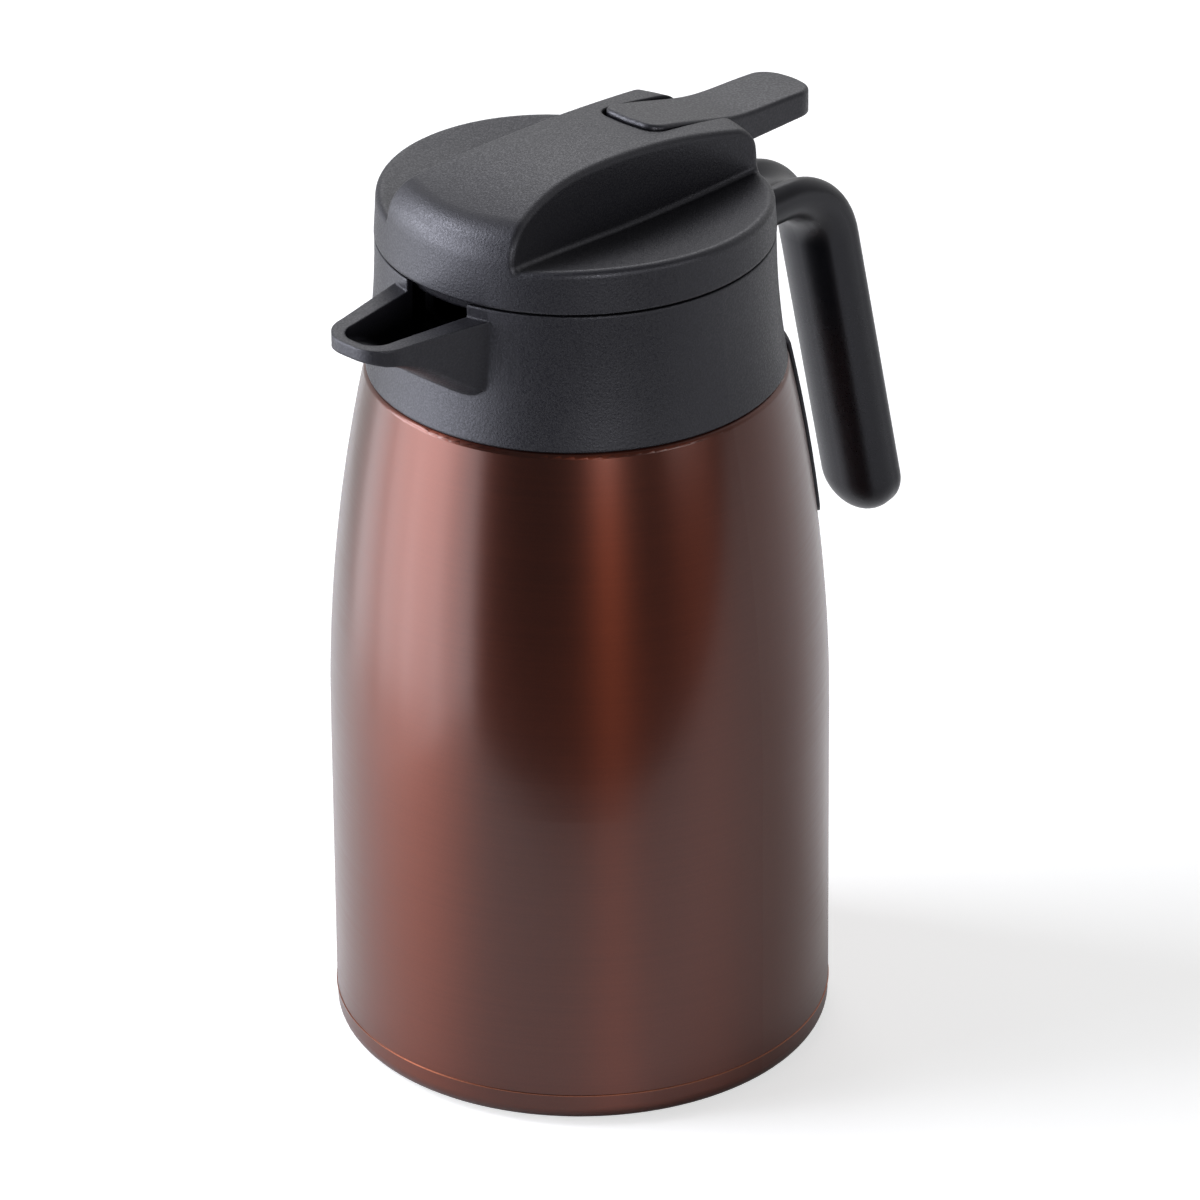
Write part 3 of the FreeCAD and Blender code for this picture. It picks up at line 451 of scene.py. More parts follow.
@dataclass(frozen=True)
class MouldedPlastic:
    """Black moulded plastic with a fine grain whose faint sparkle is partly painted glints."""

    name: str
    dark: Triple = (0.0011, 0.0010, 0.0020)
    pale: Triple = (0.0074, 0.0070, 0.0112)
    roughness: float = 0.42
    spread: float = 0.20
    pitch: float = 2000.0
    depth: float = 0.00006
    specular: float = 0.72
    sheen_tint: Triple = (0.90, 0.90, 1.0)
    edge_r: float = 0.0009
    bump_strength: float = 0.8
    speck_and_glint_share: float = 0.8
    mark_scale: float = 26.0
    mark_share: float = 0.15
    patch_rough: float = 0.02

    def make(self, groups: EffectGroups) -> Material:
        """Build the material.

        Args:
            groups: the shared effects.

        Returns:
            The material.
        """
        finish = Finish(self.name)
        graph = finish.graph
        grain = finish.effect(groups.moulded_grain, Pitch=self.pitch)
        marks = finish.effect(groups.handling, Scale=self.mark_scale)
        # The pale specks are partly the grain's own tone and partly painted glints that the grain would
        # catch.
        tone = graph.math("ADD", graph.math("MULTIPLY", grain.outputs["Speck"], self.speck_and_glint_share),
                          graph.math("MULTIPLY", marks.outputs["Mark"], self.mark_share))
        graph.link(graph.blend(tone, self.dark, self.pale), finish.shader.inputs["Base Color"])
        rough = finish.wear(grain.outputs["Speck"], self.roughness, -self.spread)
        rough = graph.math("ADD", rough, graph.math("MULTIPLY", grain.outputs["Shift"], self.patch_rough))
        graph.link(rough, finish.shader.inputs["Roughness"])
        finish.bump(grain.outputs["Height"], self.depth, self.bump_strength, self.edge_r)
        finish.fix(Specular_IOR_Level=self.specular, Specular_Tint=(*self.sheen_tint, 1.0))
        return finish.material


@dataclass(frozen=True)
class BareSteel:
    """Stainless steel with fine lines from turning."""

    name: str
    shade: Triple = (0.50, 0.495, 0.49)
    light: Triple = (0.66, 0.655, 0.65)
    roughness: float = 0.30
    spread: float = 0.12
    lines: float = 1500.0
    line_depth: float = 0.000004
    line_strength: float = 0.5

    def make(self, groups: EffectGroups) -> Material:
        """Build the material.

        Args:
            groups: the shared effects.

        Returns:
            The material.
        """
        finish = Finish(self.name)
        graph = finish.graph
        lines = finish.effect(groups.hairlines, Lines=self.lines)
        streak = lines.outputs["Streak"]
        graph.link(graph.blend(streak, self.shade, self.light), finish.shader.inputs["Base Color"])
        rough = finish.wear(streak, self.roughness, self.spread)
        graph.link(rough, finish.shader.inputs["Roughness"])
        finish.bump(lines.outputs["Height"], self.line_depth, self.line_strength)
        finish.fix(Metallic=1.0)
        return finish.material


@dataclass(frozen=True)
class SoftRubber:
    """Silicone or rubber with a dull, slightly cloudy surface."""

    name: str
    shade: Triple
    light: Triple
    roughness: float = 0.55
    spread: float = 0.10
    pitch: float = 1800.0
    depth: float = 0.00002
    bump_strength: float = 0.6
    mark_scale: float = 40.0

    def make(self, groups: EffectGroups) -> Material:
        """Build the material.

        Args:
            groups: the shared effects.

        Returns:
            The material.
        """
        finish = Finish(self.name)
        graph = finish.graph
        grain = finish.effect(groups.moulded_grain, Pitch=self.pitch)
        marks = finish.effect(groups.handling, Scale=self.mark_scale)
        mark = marks.outputs["Mark"]
        graph.link(graph.blend(mark, self.shade, self.light), finish.shader.inputs["Base Color"])
        rough = graph.remap(grain.outputs["Shift"], (-1.0, 1.0),
                            (self.roughness - self.spread / 2, self.roughness + self.spread / 2))
        graph.link(rough, finish.shader.inputs["Roughness"])
        finish.bump(grain.outputs["Height"], self.depth, self.bump_strength)
        return finish.material


class FinishSet:
    """The pot's materials by use."""

    def __init__(self, groups: EffectGroups) -> None:
        """Make each material once.

        Args:
            groups: the shared effects.
        """
        self.body = MetallicLacquer("brown_lacquer").make(groups)
        # The base cap's lower edge gets painted shade.
        self.base = MetallicLacquer("brown_lacquer_base", painted_shade_band=(0.0008, 0.0050)).make(groups)
        # The seam bead is copper coloured and brighter than the shell; this is partly a painted highlight
        # along the seam.
        self.bead_copper_and_highlight = MetallicLacquer("copper_edge_and_highlight", shade=(0.22, 0.070, 0.036), light=(0.36, 0.120, 0.064),
                                    roughness=0.34, coat=0.3).make(groups)
        self.grained = MouldedPlastic("grained_black").make(groups)
        self.handle = MouldedPlastic("handle_black", dark=(0.0005, 0.0005, 0.0010),
                                     pale=(0.0034, 0.0032, 0.0052), roughness=0.29, spread=0.05,
                                     depth=0.000010, pitch=2400.0, specular=0.50).make(groups)
        self.lever = MouldedPlastic("lever_black", roughness=0.38, depth=0.00005, pitch=1700.0).make(groups)
        self.inner = MouldedPlastic("inner_black", roughness=0.34, depth=0.000006, pitch=2200.0).make(groups)
        self.steel = BareSteel("bare_steel").make(groups)
        self.silicone = SoftRubber("grey_silicone", (0.42, 0.42, 0.41), (0.52, 0.52, 0.50)).make(groups)
        self.rubber = SoftRubber("pad_rubber", (0.020, 0.020, 0.020), (0.030, 0.030, 0.030), 0.7).make(groups)


class Workbench:
    """Models new pieces with edit-mode operators and puts them on their bodies."""

    SEED_SIZE = 0.001
    MERGE_GAP = 1e-6
    SMOOTH_DEG = 38.0

    @staticmethod
    def clear() -> None:
        """Leave edit mode and deselect everything."""
        if bpy.context.mode != "OBJECT":
            bpy.ops.object.mode_set(mode="OBJECT")
        bpy.ops.object.select_all(action="DESELECT")

    @staticmethod
    def name(piece: Piece, name: str) -> Piece:
        """Name an object and its mesh alike."""
        piece.name = name
        piece.data.name = name
        return piece

    @staticmethod
    def pick(piece: Piece, test: Callable[[bpy.types.MeshPolygon], bool]) -> None:
        """Select the faces that pass a test, and stay in edit mode.

        Args:
            piece: the object in hand.
            test: says whether a face is wanted.
        """
        bpy.ops.object.mode_set(mode="EDIT")
        bpy.ops.mesh.select_mode(type="FACE")
        bpy.ops.mesh.select_all(action="DESELECT")
        bpy.ops.object.mode_set(mode="OBJECT")
        for face in piece.data.polygons:
            face.select = test(face)
        bpy.ops.object.mode_set(mode="EDIT")

    def draw(self, name: str, corners: list[Vector]) -> Piece:
        """Draw a closed outline by extruding one corner from place to place.

        Args:
            name: name of the new piece.
            corners: the outline's corners in order.

        Returns:
            The piece, still only a line, in edit mode.
        """
        self.clear()
        bpy.ops.mesh.primitive_plane_add(size=self.SEED_SIZE)
        piece = self.name(bpy.context.object, name)
        bpy.ops.object.mode_set(mode="EDIT")
        bpy.ops.mesh.select_mode(type="VERT")
        bpy.ops.mesh.select_all(action="SELECT")
        bpy.ops.mesh.merge(type="CENTER")
        bpy.ops.transform.translate(value=corners[0])
        for here, there in zip(corners, corners[1:]):
            bpy.ops.mesh.extrude_region_move(TRANSFORM_OT_translate={"value": there - here})
        bpy.ops.mesh.select_all(action="DESELECT")
        bpy.ops.object.mode_set(mode="OBJECT")
        for corner in (0, len(corners) - 1):
            piece.data.vertices[corner].select = True
        bpy.ops.object.mode_set(mode="EDIT")
        bpy.ops.mesh.edge_face_add()
        bpy.ops.mesh.select_all(action="SELECT")
        return piece

    def close(self) -> None:
        """Merge doubles, turn the faces outwards and leave edit mode."""
        bpy.ops.object.mode_set(mode="EDIT")
        bpy.ops.mesh.select_all(action="SELECT")
        bpy.ops.mesh.remove_doubles(threshold=self.MERGE_GAP)
        bpy.ops.mesh.normals_make_consistent(inside=False)
        bpy.ops.object.mode_set(mode="OBJECT")

    def turn(self, name: str, corners: list[Vector], steps: int = 144) -> Piece:
        """Spin an outline round the pot's axis.

        Args:
            name: name of the new piece.
            corners: the outline's corners in order.
            steps: how many faces go round.

        Returns:
            The finished ring.
        """
        piece = self.draw(name, corners)
        bpy.ops.mesh.spin(steps=steps, angle=math.tau, center=ORIGIN, axis=(0, 0, 1))
        self.close()
        return piece

    def wind(self, piece: Piece, pitch: float, turns: float, steps: int = 96) -> Piece:
        """Wind an outline into a helix round the pot's axis and close its ends.

        Args:
            piece: the drawn outline.
            pitch: rise of one turn.
            turns: how many turns it makes.
            steps: how many faces go round in a turn.

        Returns:
            The same piece.
        """
        bpy.ops.object.mode_set(mode="OBJECT")
        self.screw(piece, turns, pitch * turns, int(steps * turns))
        self.cap()
        return piece

    @staticmethod
    def screw(piece: Piece, turns: float, rise: float, steps: int) -> None:
        """Sweep an outline up and round the pot's axis.

        Args:
            piece: the outline, in object mode.
            turns: how many turns it makes.
            rise: how far it rises in all.
            steps: how many faces it has in all.
        """
        screw = piece.modifiers.new("winding", "SCREW")
        screw.axis = "Z"
        screw.angle = math.tau * turns
        screw.screw_offset = rise
        screw.steps = screw.render_steps = steps
        bpy.ops.object.modifier_apply(modifier=screw.name)

    def cap(self) -> None:
        """Close the two ends of a swept piece."""
        bpy.ops.object.mode_set(mode="EDIT")
        bpy.ops.mesh.select_all(action="SELECT")
        bpy.ops.mesh.fill_holes(sides=0)
        self.close()

    def settle(self, piece: Piece, body: Body, material: Material, slot: str, *stands_for: str) -> None:
        """Smooth a finished piece, give it its finish and put it on its body.

        Args:
            piece: the finished piece.
            body: what it moves with.
            material: its finish.
            slot: name of the slot that the finish belongs to; not used.
            stands_for: CAD nodes that the piece replaces.
        """
        bpy.ops.object.select_all(action="DESELECT")
        piece.select_set(True)
        bpy.context.view_layer.objects.active = piece
        bpy.ops.object.shade_smooth_by_angle(angle=math.radians(self.SMOOTH_DEG))
        piece.data.materials.clear()
        piece.data.materials.append(material)
        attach(piece, body.value)
        if stands_for:
            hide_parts(*stands_for)
        LOG.info("%s rides on %s in %s", piece.name, body.value, material.name)


def half_plane(radius: float, height: float) -> Vector:
    """Give a place in the half plane that is spun round the axis."""
    return Vector((radius, 0.0, height))


def dress(nodes: dict[str, Piece], material: Material, *names: str) -> None:
    """Give CAD nodes a finish.

    Args:
        nodes: the CAD nodes by name.
        material: the finish.
        names: the nodes that get it.
    """
    for name in names:
        nodes[name].data.materials.clear()
        nodes[name].data.materials.append(material)
        LOG.info("%s gets %s", name, material.name)


@dataclass
class ScrewForm:
    """Pan-head screw with a cross recess, its head's underside at the origin and its shank along +Z."""

    head_r: float
    head_t: float
    shank_r: float
    length: float
    recess_w: float = 0.0007
    recess_reach: float = 1.25
    recess_deep: float = 1.2
    sides: int = 32
    dome_inset: float = 0.28
    tip_share: float = 0.35
    crown_share: float = 0.35
    crown_segments: int = 3
    crown_deg: float = 60.0

    def model(self, bench: Workbench, name: str) -> Piece:
        """Model one screw.

        Args:
            bench: the operators.
            name: name of the piece.

        Returns:
            The screw, standing on its head.
        """
        bench.clear()
        bpy.ops.mesh.primitive_cube_add(size=1.0)
        cutter = bench.name(bpy.context.object, name + "_recess")
        bpy.ops.object.mode_set(mode="EDIT")
        recess = (self.head_r * self.recess_reach, self.recess_w, self.head_t * self.recess_deep)
        bpy.ops.transform.resize(value=recess)
        bpy.ops.mesh.duplicate()
        bpy.ops.transform.rotate(value=math.pi / 2, orient_axis="Z", center_override=ORIGIN)
        bpy.ops.mesh.select_all(action="SELECT")
        bpy.ops.transform.translate(value=(0, 0, -self.head_t))
        bench.clear()
        bpy.ops.mesh.primitive_cylinder_add(vertices=self.sides, radius=self.head_r, depth=self.head_t,
                                            location=(0, 0, -self.head_t / 2))
        screw = bench.name(bpy.context.object, name)
        bpy.ops.object.transform_apply(location=True, rotation=True, scale=True)
        bench.pick(screw, lambda face: face.normal.z < -LEVEL)
        bpy.ops.mesh.inset(thickness=self.head_r * self.dome_inset)
        bench.pick(screw, lambda face: face.normal.z > LEVEL)
        bpy.ops.mesh.inset(thickness=self.head_r - self.shank_r)
        for rise in (self.length - self.shank_r, self.shank_r):
            bpy.ops.mesh.extrude_region_move(TRANSFORM_OT_translate={"value": (0, 0, rise)})
        bpy.ops.transform.resize(value=(self.tip_share, self.tip_share, 1.0))
        bpy.ops.object.mode_set(mode="OBJECT")
        crown = screw.modifiers.new("crown", "BEVEL")
        crown.width = self.head_t * self.crown_share
        crown.segments = self.crown_segments
        crown.angle_limit = math.radians(self.crown_deg)
        bpy.ops.object.modifier_apply(modifier=crown.name)
        cross = screw.modifiers.new("recess", "BOOLEAN")
        cross.operation = "DIFFERENCE"
        cross.use_self = True
        cross.object = cutter
        bpy.ops.object.modifier_apply(modifier=cross.name)
        bpy.data.objects.remove(cutter)
        return screw

    def set_out(self, bench: Workbench, name: str, places: list[Vector], along_y: bool) -> Piece:
        """Model one screw, copy it to each place and join the copies.

        Args:
            bench: the operators.
            name: name of the joined piece.
            places: where the heads bear.
            along_y: whether the shanks run along +Y and not along +Z.

        Returns:
            The joined screws.
        """
        first = self.model(bench, name)
        if along_y:
            bpy.ops.object.mode_set(mode="EDIT")
            bpy.ops.mesh.select_all(action="SELECT")
            bpy.ops.transform.rotate(value=math.pi / 2, orient_axis="X", center_override=ORIGIN)
            bpy.ops.object.mode_set(mode="OBJECT")
            if max(vertex.co.y for vertex in first.data.vertices) < self.length / 2:
                bpy.ops.object.mode_set(mode="EDIT")
                bpy.ops.transform.rotate(value=math.pi, orient_axis="X", center_override=ORIGIN)
                bpy.ops.object.mode_set(mode="OBJECT")
        copies = [first]
        for _ in places[1:]:
            bpy.ops.object.select_all(action="DESELECT")
            first.select_set(True)
            bpy.ops.object.duplicate(linked=False)
            copies.append(bpy.context.selected_objects[0])
        for copy, place in zip(copies, places):
            copy.data.transform(Matrix.Translation(place))
        bpy.ops.object.select_all(action="DESELECT")
        for copy in copies:
            copy.select_set(True)
        bpy.context.view_layer.objects.active = first
        bpy.ops.object.join()
        bench.close()
        return first


@dataclass
class ThreadForm:
    """Low thread wound round the pot's axis. With a negative height it points inwards."""

    radius: float
    height: float
    low: float
    pitch: float = 0.0022
    turns: float = 2.0
    crest: Pair = (0.18, 0.36)
    width: float = 0.54

    def model(self, bench: Workbench, name: str) -> Piece:
        """Wind the thread.

        Args:
            bench: the operators.
            name: name of the piece.

        Returns:
            The thread.
        """
        tip = self.radius + self.height
        root = self.radius - self.height
        rise, fall, end = (self.low + self.pitch * share for share in (*self.crest, self.width))
        corners = [
            half_plane(root, self.low), half_plane(self.radius, self.low),
            half_plane(tip, rise), half_plane(tip, fall),
            half_plane(self.radius, end), half_plane(root, end),
        ]
        return bench.wind(bench.draw(name, corners), self.pitch, self.turns)


@dataclass
class VacuumBody:
    """Double-walled bottle with its base cap and pad."""

    radius: float = 0.0650
    seam_z: float = 0.00915
    bead_h: float = 0.00022
    bead_proud: float = 0.00018
    bead_root: float = 0.00088
    bead_steps: int = 192
    pad_r: float = 0.0598
    pad_t: float = 0.0010
    pad_sides: int = 144
    rim_share: float = 0.3
    rim_segments: int = 3
    rim_deg: float = 70.0
    pad_rings: int = 4
    ring_land: float = 0.0050
    groove_w: float = 0.0016
    groove_depth: float = 0.0005

    def build_seam_bead(self, bench: Workbench) -> Piece:
        """Turn the fine edge between the shell and the base cap; its brighter copper finish is partly a
        painted highlight.

        Args:
            bench: the operators.

        Returns:
            The bead.
        """
        out = self.radius + self.bead_proud
        inside = self.radius - self.bead_root
        corners = [
            half_plane(inside, self.seam_z - self.bead_h), half_plane(self.radius, self.seam_z - self.bead_h),
            half_plane(out, self.seam_z - self.bead_h / 2), half_plane(out, self.seam_z + self.bead_h / 2),
            half_plane(self.radius, self.seam_z + self.bead_h), half_plane(inside, self.seam_z + self.bead_h),
        ]
        return bench.turn("seam_bead", corners, steps=self.bead_steps)

    def build_pad(self, bench: Workbench) -> Piece:
        """Model the pad with its ring grooves underneath.

        Args:
            bench: the operators.

        Returns:
            The pad.
        """
        bench.clear()
        bpy.ops.mesh.primitive_cylinder_add(vertices=self.pad_sides, radius=self.pad_r, depth=self.pad_t,
                                            location=(0, 0, self.pad_t / 2))
        pad = bench.name(bpy.context.object, "grooved_pad")
        bpy.ops.object.transform_apply(location=True, rotation=True, scale=True)
        bench.pick(pad, lambda face: face.normal.z < -LEVEL)
        for _ in range(self.pad_rings):
            bpy.ops.mesh.inset(thickness=self.ring_land)
            bpy.ops.mesh.inset(thickness=self.groove_w / 4)
            bpy.ops.transform.translate(value=(0, 0, self.groove_depth))
            bpy.ops.mesh.inset(thickness=self.groove_w / 2)
            bpy.ops.mesh.inset(thickness=self.groove_w / 4)
            bpy.ops.transform.translate(value=(0, 0, -self.groove_depth))
        bench.close()
        rim = pad.modifiers.new("rim", "BEVEL")
        rim.width = self.pad_t * self.rim_share
        rim.segments = self.rim_segments
        rim.angle_limit = math.radians(self.rim_deg)
        bpy.ops.object.modifier_apply(modifier=rim.name)
        return pad

    def build(self, bench: Workbench, nodes: dict[str, Piece], finishes: FinishSet) -> None:
        """Build and dress the sub-assembly.

        Args:
            bench: the operators.
            nodes: the CAD nodes by name.
            finishes: the materials.
        """
        dress(nodes, finishes.body, "outer_shell")
        dress(nodes, finishes.base, "base_cap")
        dress(nodes, finishes.steel, "inner_bottle", "shell_bottom", "getter")
        dress(nodes, finishes.rubber, "base_pad")
        # The bead's brighter copper finish is partly a painted highlight along the seam.
        bench.settle(self.build_seam_bead(bench), Body.POT, finishes.bead_copper_and_highlight, "brown_coat")
        bench.settle(self.build_pad(bench), Body.POT, finishes.rubber, "pad_rubber", "base_pad")


@dataclass
class CollarAndHandle:
    """Spouted collar, the ring nut that clamps it, and the handle with its screws."""

    screw_x: float = 0.0050
    screw_y: float = 0.0486
    screw_z: float = 0.2108
    screw: ScrewForm = field(default_factory=lambda: ScrewForm(0.0030, 0.0020, 0.00165, 0.0140))
    thread: ThreadForm = field(default_factory=lambda: ThreadForm(0.0434, -0.00025, 0.2068))

    def build(self, bench: Workbench, nodes: dict[str, Piece], finishes: FinishSet) -> None:
        """Build and dress the sub-assembly.

        Args:
            bench: the operators.
            nodes: the CAD nodes by name.
            finishes: the materials.
        """
        dress(nodes, finishes.grained, "collar")
        dress(nodes, finishes.handle, "handle")
        dress(nodes, finishes.inner, "neck_ring")
        dress(nodes, finishes.silicone, "collar_gasket", "mouth_gasket")
        dress(nodes, finishes.steel, "handle_screws")
        bench.settle(self.thread.model(bench, "neck_thread"), Body.POT, finishes.inner, "inner_plastic")
        places = [Vector((side * self.screw_x, self.screw_y, self.screw_z)) for side in (-1, 1)]
        screws = self.screw.set_out(bench, "handle_cross_screws", places, along_y=True)
        bench.settle(screws, Body.POT, finishes.steel, "steel", "handle_screws")


@dataclass
class StopperLid:
    """Twist lid: cover, plug, packing and screws."""

    screw_places: tuple[Pair, ...] = (
        (0.0100, -0.0320), (-0.0100, -0.0320), (0.0132, 0.0240), (-0.0132, 0.0240),
    )
    screw_z: float = 0.2234
    screw: ScrewForm = field(default_factory=lambda: ScrewForm(0.0028, 0.0018, 0.00125, 0.0106))
    thread: ThreadForm = field(default_factory=lambda: ThreadForm(0.0426, 0.00040, 0.2082))
    packing_in: float = 0.0375
    packing_waist: float = 0.0391
    packing_out: float = 0.0402
    packing_low: float = 0.1924
    packing_h: float = 0.0038
    lip_points: int = 7
    lip_share: float = 0.36
    packing_steps: int = 128

    def build_packing(self, bench: Workbench) -> Piece:
        """Turn the packing ring with its two round lips.

        Args:
            bench: the operators.

        Returns:
            The packing.
        """
        reach = self.packing_out - self.packing_waist
        lip = self.packing_h * self.lip_share
        corners = [half_plane(self.packing_in, self.packing_low)]
        for low in (self.packing_low, self.packing_low + self.packing_h - lip):
            for index in range(self.lip_points):
                swing = math.pi * index / (self.lip_points - 1)
                height = low + lip / 2 * (1 - math.cos(swing))
                corners.append(half_plane(self.packing_waist + reach * math.sin(swing), height))
        corners.append(half_plane(self.packing_in, self.packing_low + self.packing_h))
        return bench.turn("lipped_packing", corners, steps=self.packing_steps)

    def build(self, bench: Workbench, nodes: dict[str, Piece], finishes: FinishSet) -> None:
        """Build and dress the sub-assembly.

        Args:
            bench: the operators.
            nodes: the CAD nodes by name.
            finishes: the materials.
        """
        dress(nodes, finishes.grained, "lid_cover")
        dress(nodes, finishes.inner, "stopper_body", "stopper_base")
        dress(nodes, finishes.silicone, "lid_packing", "stem_packing")
        dress(nodes, finishes.steel, "lid_screws", "lever_pin")
        bench.settle(self.thread.model(bench, "stopper_thread"), Body.LID, finishes.inner, "inner_plastic")
        bench.settle(self.build_packing(bench), Body.LID_SEAL, finishes.silicone, "silicone", "lid_packing")
        places = [Vector((x, y, self.screw_z)) for x, y in self.screw_places]
        screws = self.screw.set_out(bench, "lid_cross_screws", places, along_y=False)
        bench.settle(screws, Body.LID, finishes.steel, "steel", "lid_screws")


@dataclass
class LeverAndValve:
    """Thumb lever and the spring-loaded valve that it lifts."""

    coil_r: float = 0.0060
    wire_r: float = 0.0005
    low_z: float = 0.2338
    top_z: float = 0.2462
    lift: float = 0.00585
    end_turns: float = 1.0
    end_pitch: float = 0.00105
    free_turns: float = 3.0
    steps: int = 40
    wire_sides: int = 10

    def rise_at(self, turns: float) -> float:
        """Give how far the wire has risen after some turns: close wound at both ends, open between.

        Args:
            turns: turns from the lower end.

        Returns:
            The rise from the lower end.
        """
        close = self.end_pitch
        total = self.top_z - self.low_z - 2 * self.wire_r
        free = (total - 2 * close * self.end_turns) / self.free_turns
        after = max(0.0, turns - self.end_turns - self.free_turns)
        between = min(max(0.0, turns - self.end_turns), self.free_turns)
        return min(turns, self.end_turns) * close + between * free + after * close

    def build_spring(self, bench: Workbench) -> Piece:
        """Wind the valve spring with close-wound ends.

        Args:
            bench: the operators.

        Returns:
            The spring.
        """
        turns = 2 * self.end_turns + self.free_turns
        bench.clear()
        bpy.ops.mesh.primitive_circle_add(vertices=self.wire_sides, radius=self.wire_r,
                                          location=(self.coil_r, 0, self.low_z + self.wire_r),
                                          rotation=(math.pi / 2, 0, 0))
        spring = bench.name(bpy.context.object, "coiled_spring")
        bpy.ops.object.transform_apply(location=True, rotation=True, scale=True)
        heights = [vertex.co.z for vertex in spring.data.vertices]
        screw_steps = int(self.steps * turns)
        bench.screw(spring, turns, self.top_z - self.low_z, screw_steps)
        for index, vertex in enumerate(spring.data.vertices):
            step, side = divmod(index, self.wire_sides)
            vertex.co.z = heights[side] + self.rise_at(turns * step / screw_steps)
        bench.cap()
        return spring

    def build(self, bench: Workbench, nodes: dict[str, Piece], finishes: FinishSet) -> None:
        """Build and dress the sub-assembly.

        Args:
            bench: the operators.
            nodes: the CAD nodes by name.
            finishes: the materials.
        """
        dress(nodes, finishes.lever, "lever")
        dress(nodes, finishes.inner, "valve_plug", "spring_seat")
        dress(nodes, finishes.steel, "valve_stem", "stem_clip", "valve_spring")
        dress(nodes, finishes.silicone, "valve_seal")
        spring = self.build_spring(bench)
        bench.settle(spring, Body.LID, finishes.steel, "steel", "valve_spring")
        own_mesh(spring)


@dataclass(frozen=True)
class SoftBox:
    """Rectangular lamp that faces the pot."""

    name: str
    azimuth_deg: float
    height: float
    distance: float
    size: Pair
    watts: float
    tint: Triple = (1.0, 1.0, 1.0)


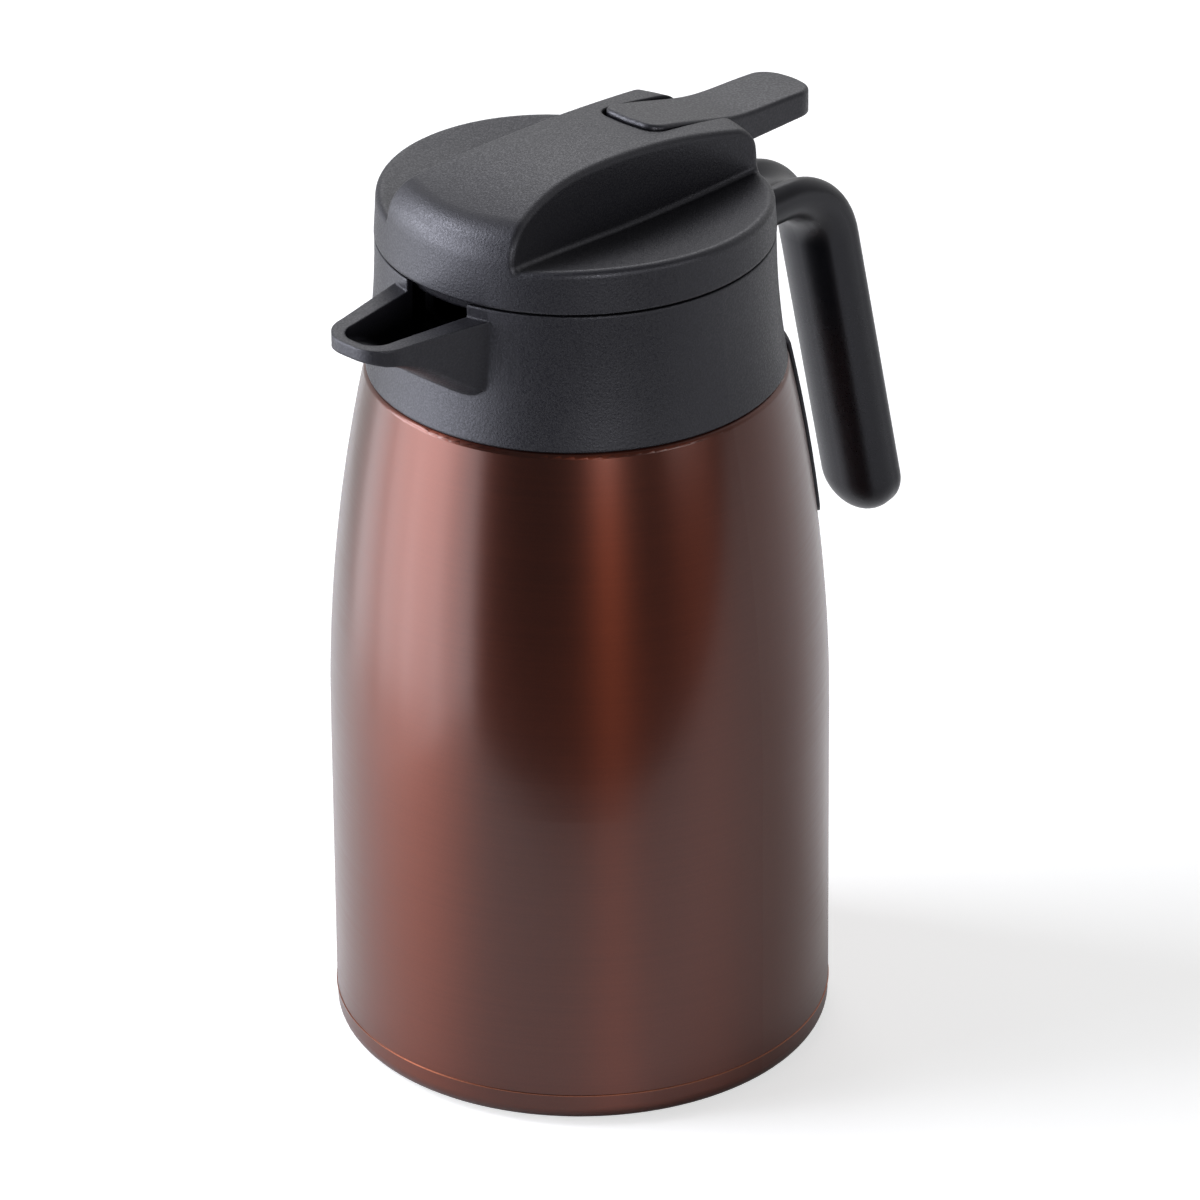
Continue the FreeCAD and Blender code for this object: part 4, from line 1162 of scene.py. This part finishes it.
@dataclass
class Studio:
    """Camera, lamps, pale floor and white surroundings."""

    focal_mm: float = 270.0
    sensor_mm: float = 36.0
    far_clip: float = 20.0
    eye: Triple = (1.4387, -1.4820, 1.2051)
    azimuth_deg: float = 44.0
    pitch_deg: float = 27.718
    roll_deg: float = -0.498
    aim_z: float = 0.14
    floor_back: float = 2.4
    floor_front: float = 0.235
    floor_left: float = 0.27
    floor_drop: float = 0.0002
    floor_tone: float = 0.80
    floor_roughness: float = 0.9
    floor_specular: float = 0.1
    floor_glow: float = 0.56
    floor_sheen: float = 0.22
    # Radii over which the painted shadow round the pot's foot fades out of the floor's glow in reflections.
    painted_shadow_ring: Pair = (0.066, 0.088)
    soft_level: float = 0.10
    behind_level: float = 0.62
    behind_span: Pair = (0.25, -0.55)
    front_level: float = 0.10
    lamps: tuple[SoftBox, ...] = (
        SoftBox("window_low_1", -58.0, -0.12, 1.50, (0.5, 0.8), 3.8, DAYLIGHT),
        SoftBox("window_low_2", -76.0, -0.12, 1.50, (0.5, 0.8), 5.3, DAYLIGHT),
        SoftBox("window_low_3", -94.0, -0.12, 1.50, (0.5, 0.8), 4.3, DAYLIGHT),
        SoftBox("window_low_4", -116.0, -0.12, 1.50, (0.5, 0.8), 2.5, DAYLIGHT),
        SoftBox("window_high", -86.0, 0.46, 1.40, (1.3, 0.55), 17.5, DAYLIGHT),
        SoftBox("window_top", -92.0, 1.05, 1.10, (0.8, 0.5), 13.0, DAYLIGHT),
        SoftBox("front_strip", 14.0, 0.54, 1.60, (0.15, 0.5), 7.8),
        SoftBox("right_fill", 57.0, 0.46, 1.50, (0.6, 0.7), 3.4),
        SoftBox("back_fill", 180.0, 1.20, 1.20, (0.9, 0.9), 4.0),
    )

    def directions(self) -> tuple[Vector, Vector]:
        """Give the level directions to the camera's right and towards the camera."""
        turn = math.radians(self.azimuth_deg)
        return Vector((math.cos(turn), math.sin(turn), 0.0)), Vector((math.sin(turn), -math.cos(turn), 0.0))

    def place_camera(self) -> None:
        """Put the camera where the photograph was taken from."""
        camera = bpy.data.cameras.new("camera")
        camera.lens = self.focal_mm
        camera.sensor_width = self.sensor_mm
        camera.clip_end = self.far_clip
        holder = bpy.data.objects.new("camera", camera)
        bpy.context.scene.collection.objects.link(holder)
        turned = (Matrix.Rotation(math.radians(self.azimuth_deg), 4, "Z")
                  @ Matrix.Rotation(math.radians(90.0 - self.pitch_deg), 4, "X")
                  @ Matrix.Rotation(math.radians(self.roll_deg), 4, "Z"))
        holder.matrix_world = Matrix.Translation(Vector(self.eye)) @ turned
        bpy.context.scene.camera = holder

    def lay_floor(self) -> None:
        """Lay a pale floor that keeps the pot's shadow."""
        right, toward = self.directions()
        bpy.ops.object.select_all(action="DESELECT")
        bpy.ops.mesh.primitive_plane_add(size=2.0)
        floor = bpy.context.object
        floor.name = "floor"
        for vertex in floor.data.vertices:
            along = self.floor_front if vertex.co.y < 0 else -self.floor_back
            across = -self.floor_left if vertex.co.x < 0 else self.floor_back
            spot = right * across + toward * along
            vertex.co = (spot.x, spot.y, -self.floor_drop)
        finish = Finish("floor_paint")
        finish.fix(Base_Color=(self.floor_tone, self.floor_tone, self.floor_tone, 1.0),
                   Roughness=self.floor_roughness, Specular_IOR_Level=self.floor_specular)
        graph = finish.graph
        from_camera, mirrored = graph.rays()
        glow = graph.add("ShaderNodeEmission")
        glow.inputs["Color"].default_value = WHITE
        # Painted shadow: the glow that reflections see is zero close to the pot's foot and rises to full past
        # the ring. This stands in for the contact shadow there.
        reach = graph.add("ShaderNodeVectorMath", operation="LENGTH")
        graph.link(finish.place, reach.inputs[0])
        clear = graph.remap(reach.outputs["Value"], self.painted_shadow_ring, (0.0, self.floor_sheen))
        sheen = graph.math("MULTIPLY", mirrored, clear)
        direct = graph.math("MULTIPLY", from_camera, self.floor_glow)
        graph.link(graph.math("MAXIMUM", direct, sheen), glow.inputs["Strength"])
        both = graph.add("ShaderNodeAddShader")
        graph.link(finish.shader.outputs[0], both.inputs[0])
        graph.link(glow.outputs[0], both.inputs[1])
        graph.link(both.outputs[0], finish.material.node_tree.nodes["Material Output"].inputs["Surface"])
        floor.data.materials.append(finish.material)

    def light_world(self) -> None:
        """Surround the pot with white behind it and a dim room in front."""
        world = bpy.data.worlds.new("surroundings")
        bpy.context.scene.world = world
        world.use_nodes = True
        graph = Graph(world.node_tree)
        background = world.node_tree.nodes["Background"]
        _, toward = self.directions()
        way = graph.add("ShaderNodeTexCoord").outputs["Generated"]
        facing = graph.add("ShaderNodeVectorMath", operation="DOT_PRODUCT")
        graph.link(way, facing.inputs[0])
        facing.inputs[1].default_value = toward
        behind = graph.remap(facing.outputs["Value"], self.behind_span, UNIT)
        from_camera, mirrored = graph.rays()
        room = graph.math("ADD", graph.math("MULTIPLY", behind, self.behind_level), self.front_level)
        soft = graph.math("MULTIPLY", graph.math("SUBTRACT", 1.0, mirrored), self.soft_level)
        level = graph.math("ADD", graph.math("MULTIPLY", mirrored, room), soft)
        seen = graph.math("MAXIMUM", level, from_camera)
        graph.link(seen, background.inputs["Strength"])
        background.inputs["Color"].default_value = WHITE

    def hang_lamp(self, box: SoftBox) -> None:
        """Hang a soft box.

        Args:
            box: the lamp's place, size and power.
        """
        right, toward = self.directions()
        turn = math.radians(box.azimuth_deg)
        way = right * math.sin(turn) + toward * math.cos(turn)
        spot = way * box.distance + Vector((0.0, 0.0, box.height))
        lamp = bpy.data.lights.new(box.name, "AREA")
        lamp.shape = "RECTANGLE"
        lamp.size, lamp.size_y = box.size
        lamp.energy = box.watts
        lamp.color = box.tint
        holder = bpy.data.objects.new(box.name, lamp)
        bpy.context.scene.collection.objects.link(holder)
        facing = (Vector((0.0, 0.0, self.aim_z)) - spot).to_track_quat("-Z", "Y").to_matrix().to_4x4()
        holder.matrix_world = Matrix.Translation(spot) @ facing

    def build(self) -> None:
        """Set up the whole studio."""
        bpy.context.scene.view_settings.view_transform = "Standard"
        self.place_camera()
        self.lay_floor()
        self.light_world()
        for box in self.lamps:
            self.hang_lamp(box)


def main() -> None:
    """Build the pot round its frame, then the studio."""
    logging.basicConfig(level=logging.INFO, format="%(name)s: %(message)s")
    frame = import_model()
    nodes = frame["nodes"]
    finishes = FinishSet(EffectGroups())
    bench = Workbench()
    for assembly in (VacuumBody(), CollarAndHandle(), StopperLid(), LeverAndValve()):
        assembly.build(bench, nodes, finishes)
    Studio().build()


if __name__ == "__main__":
    main()
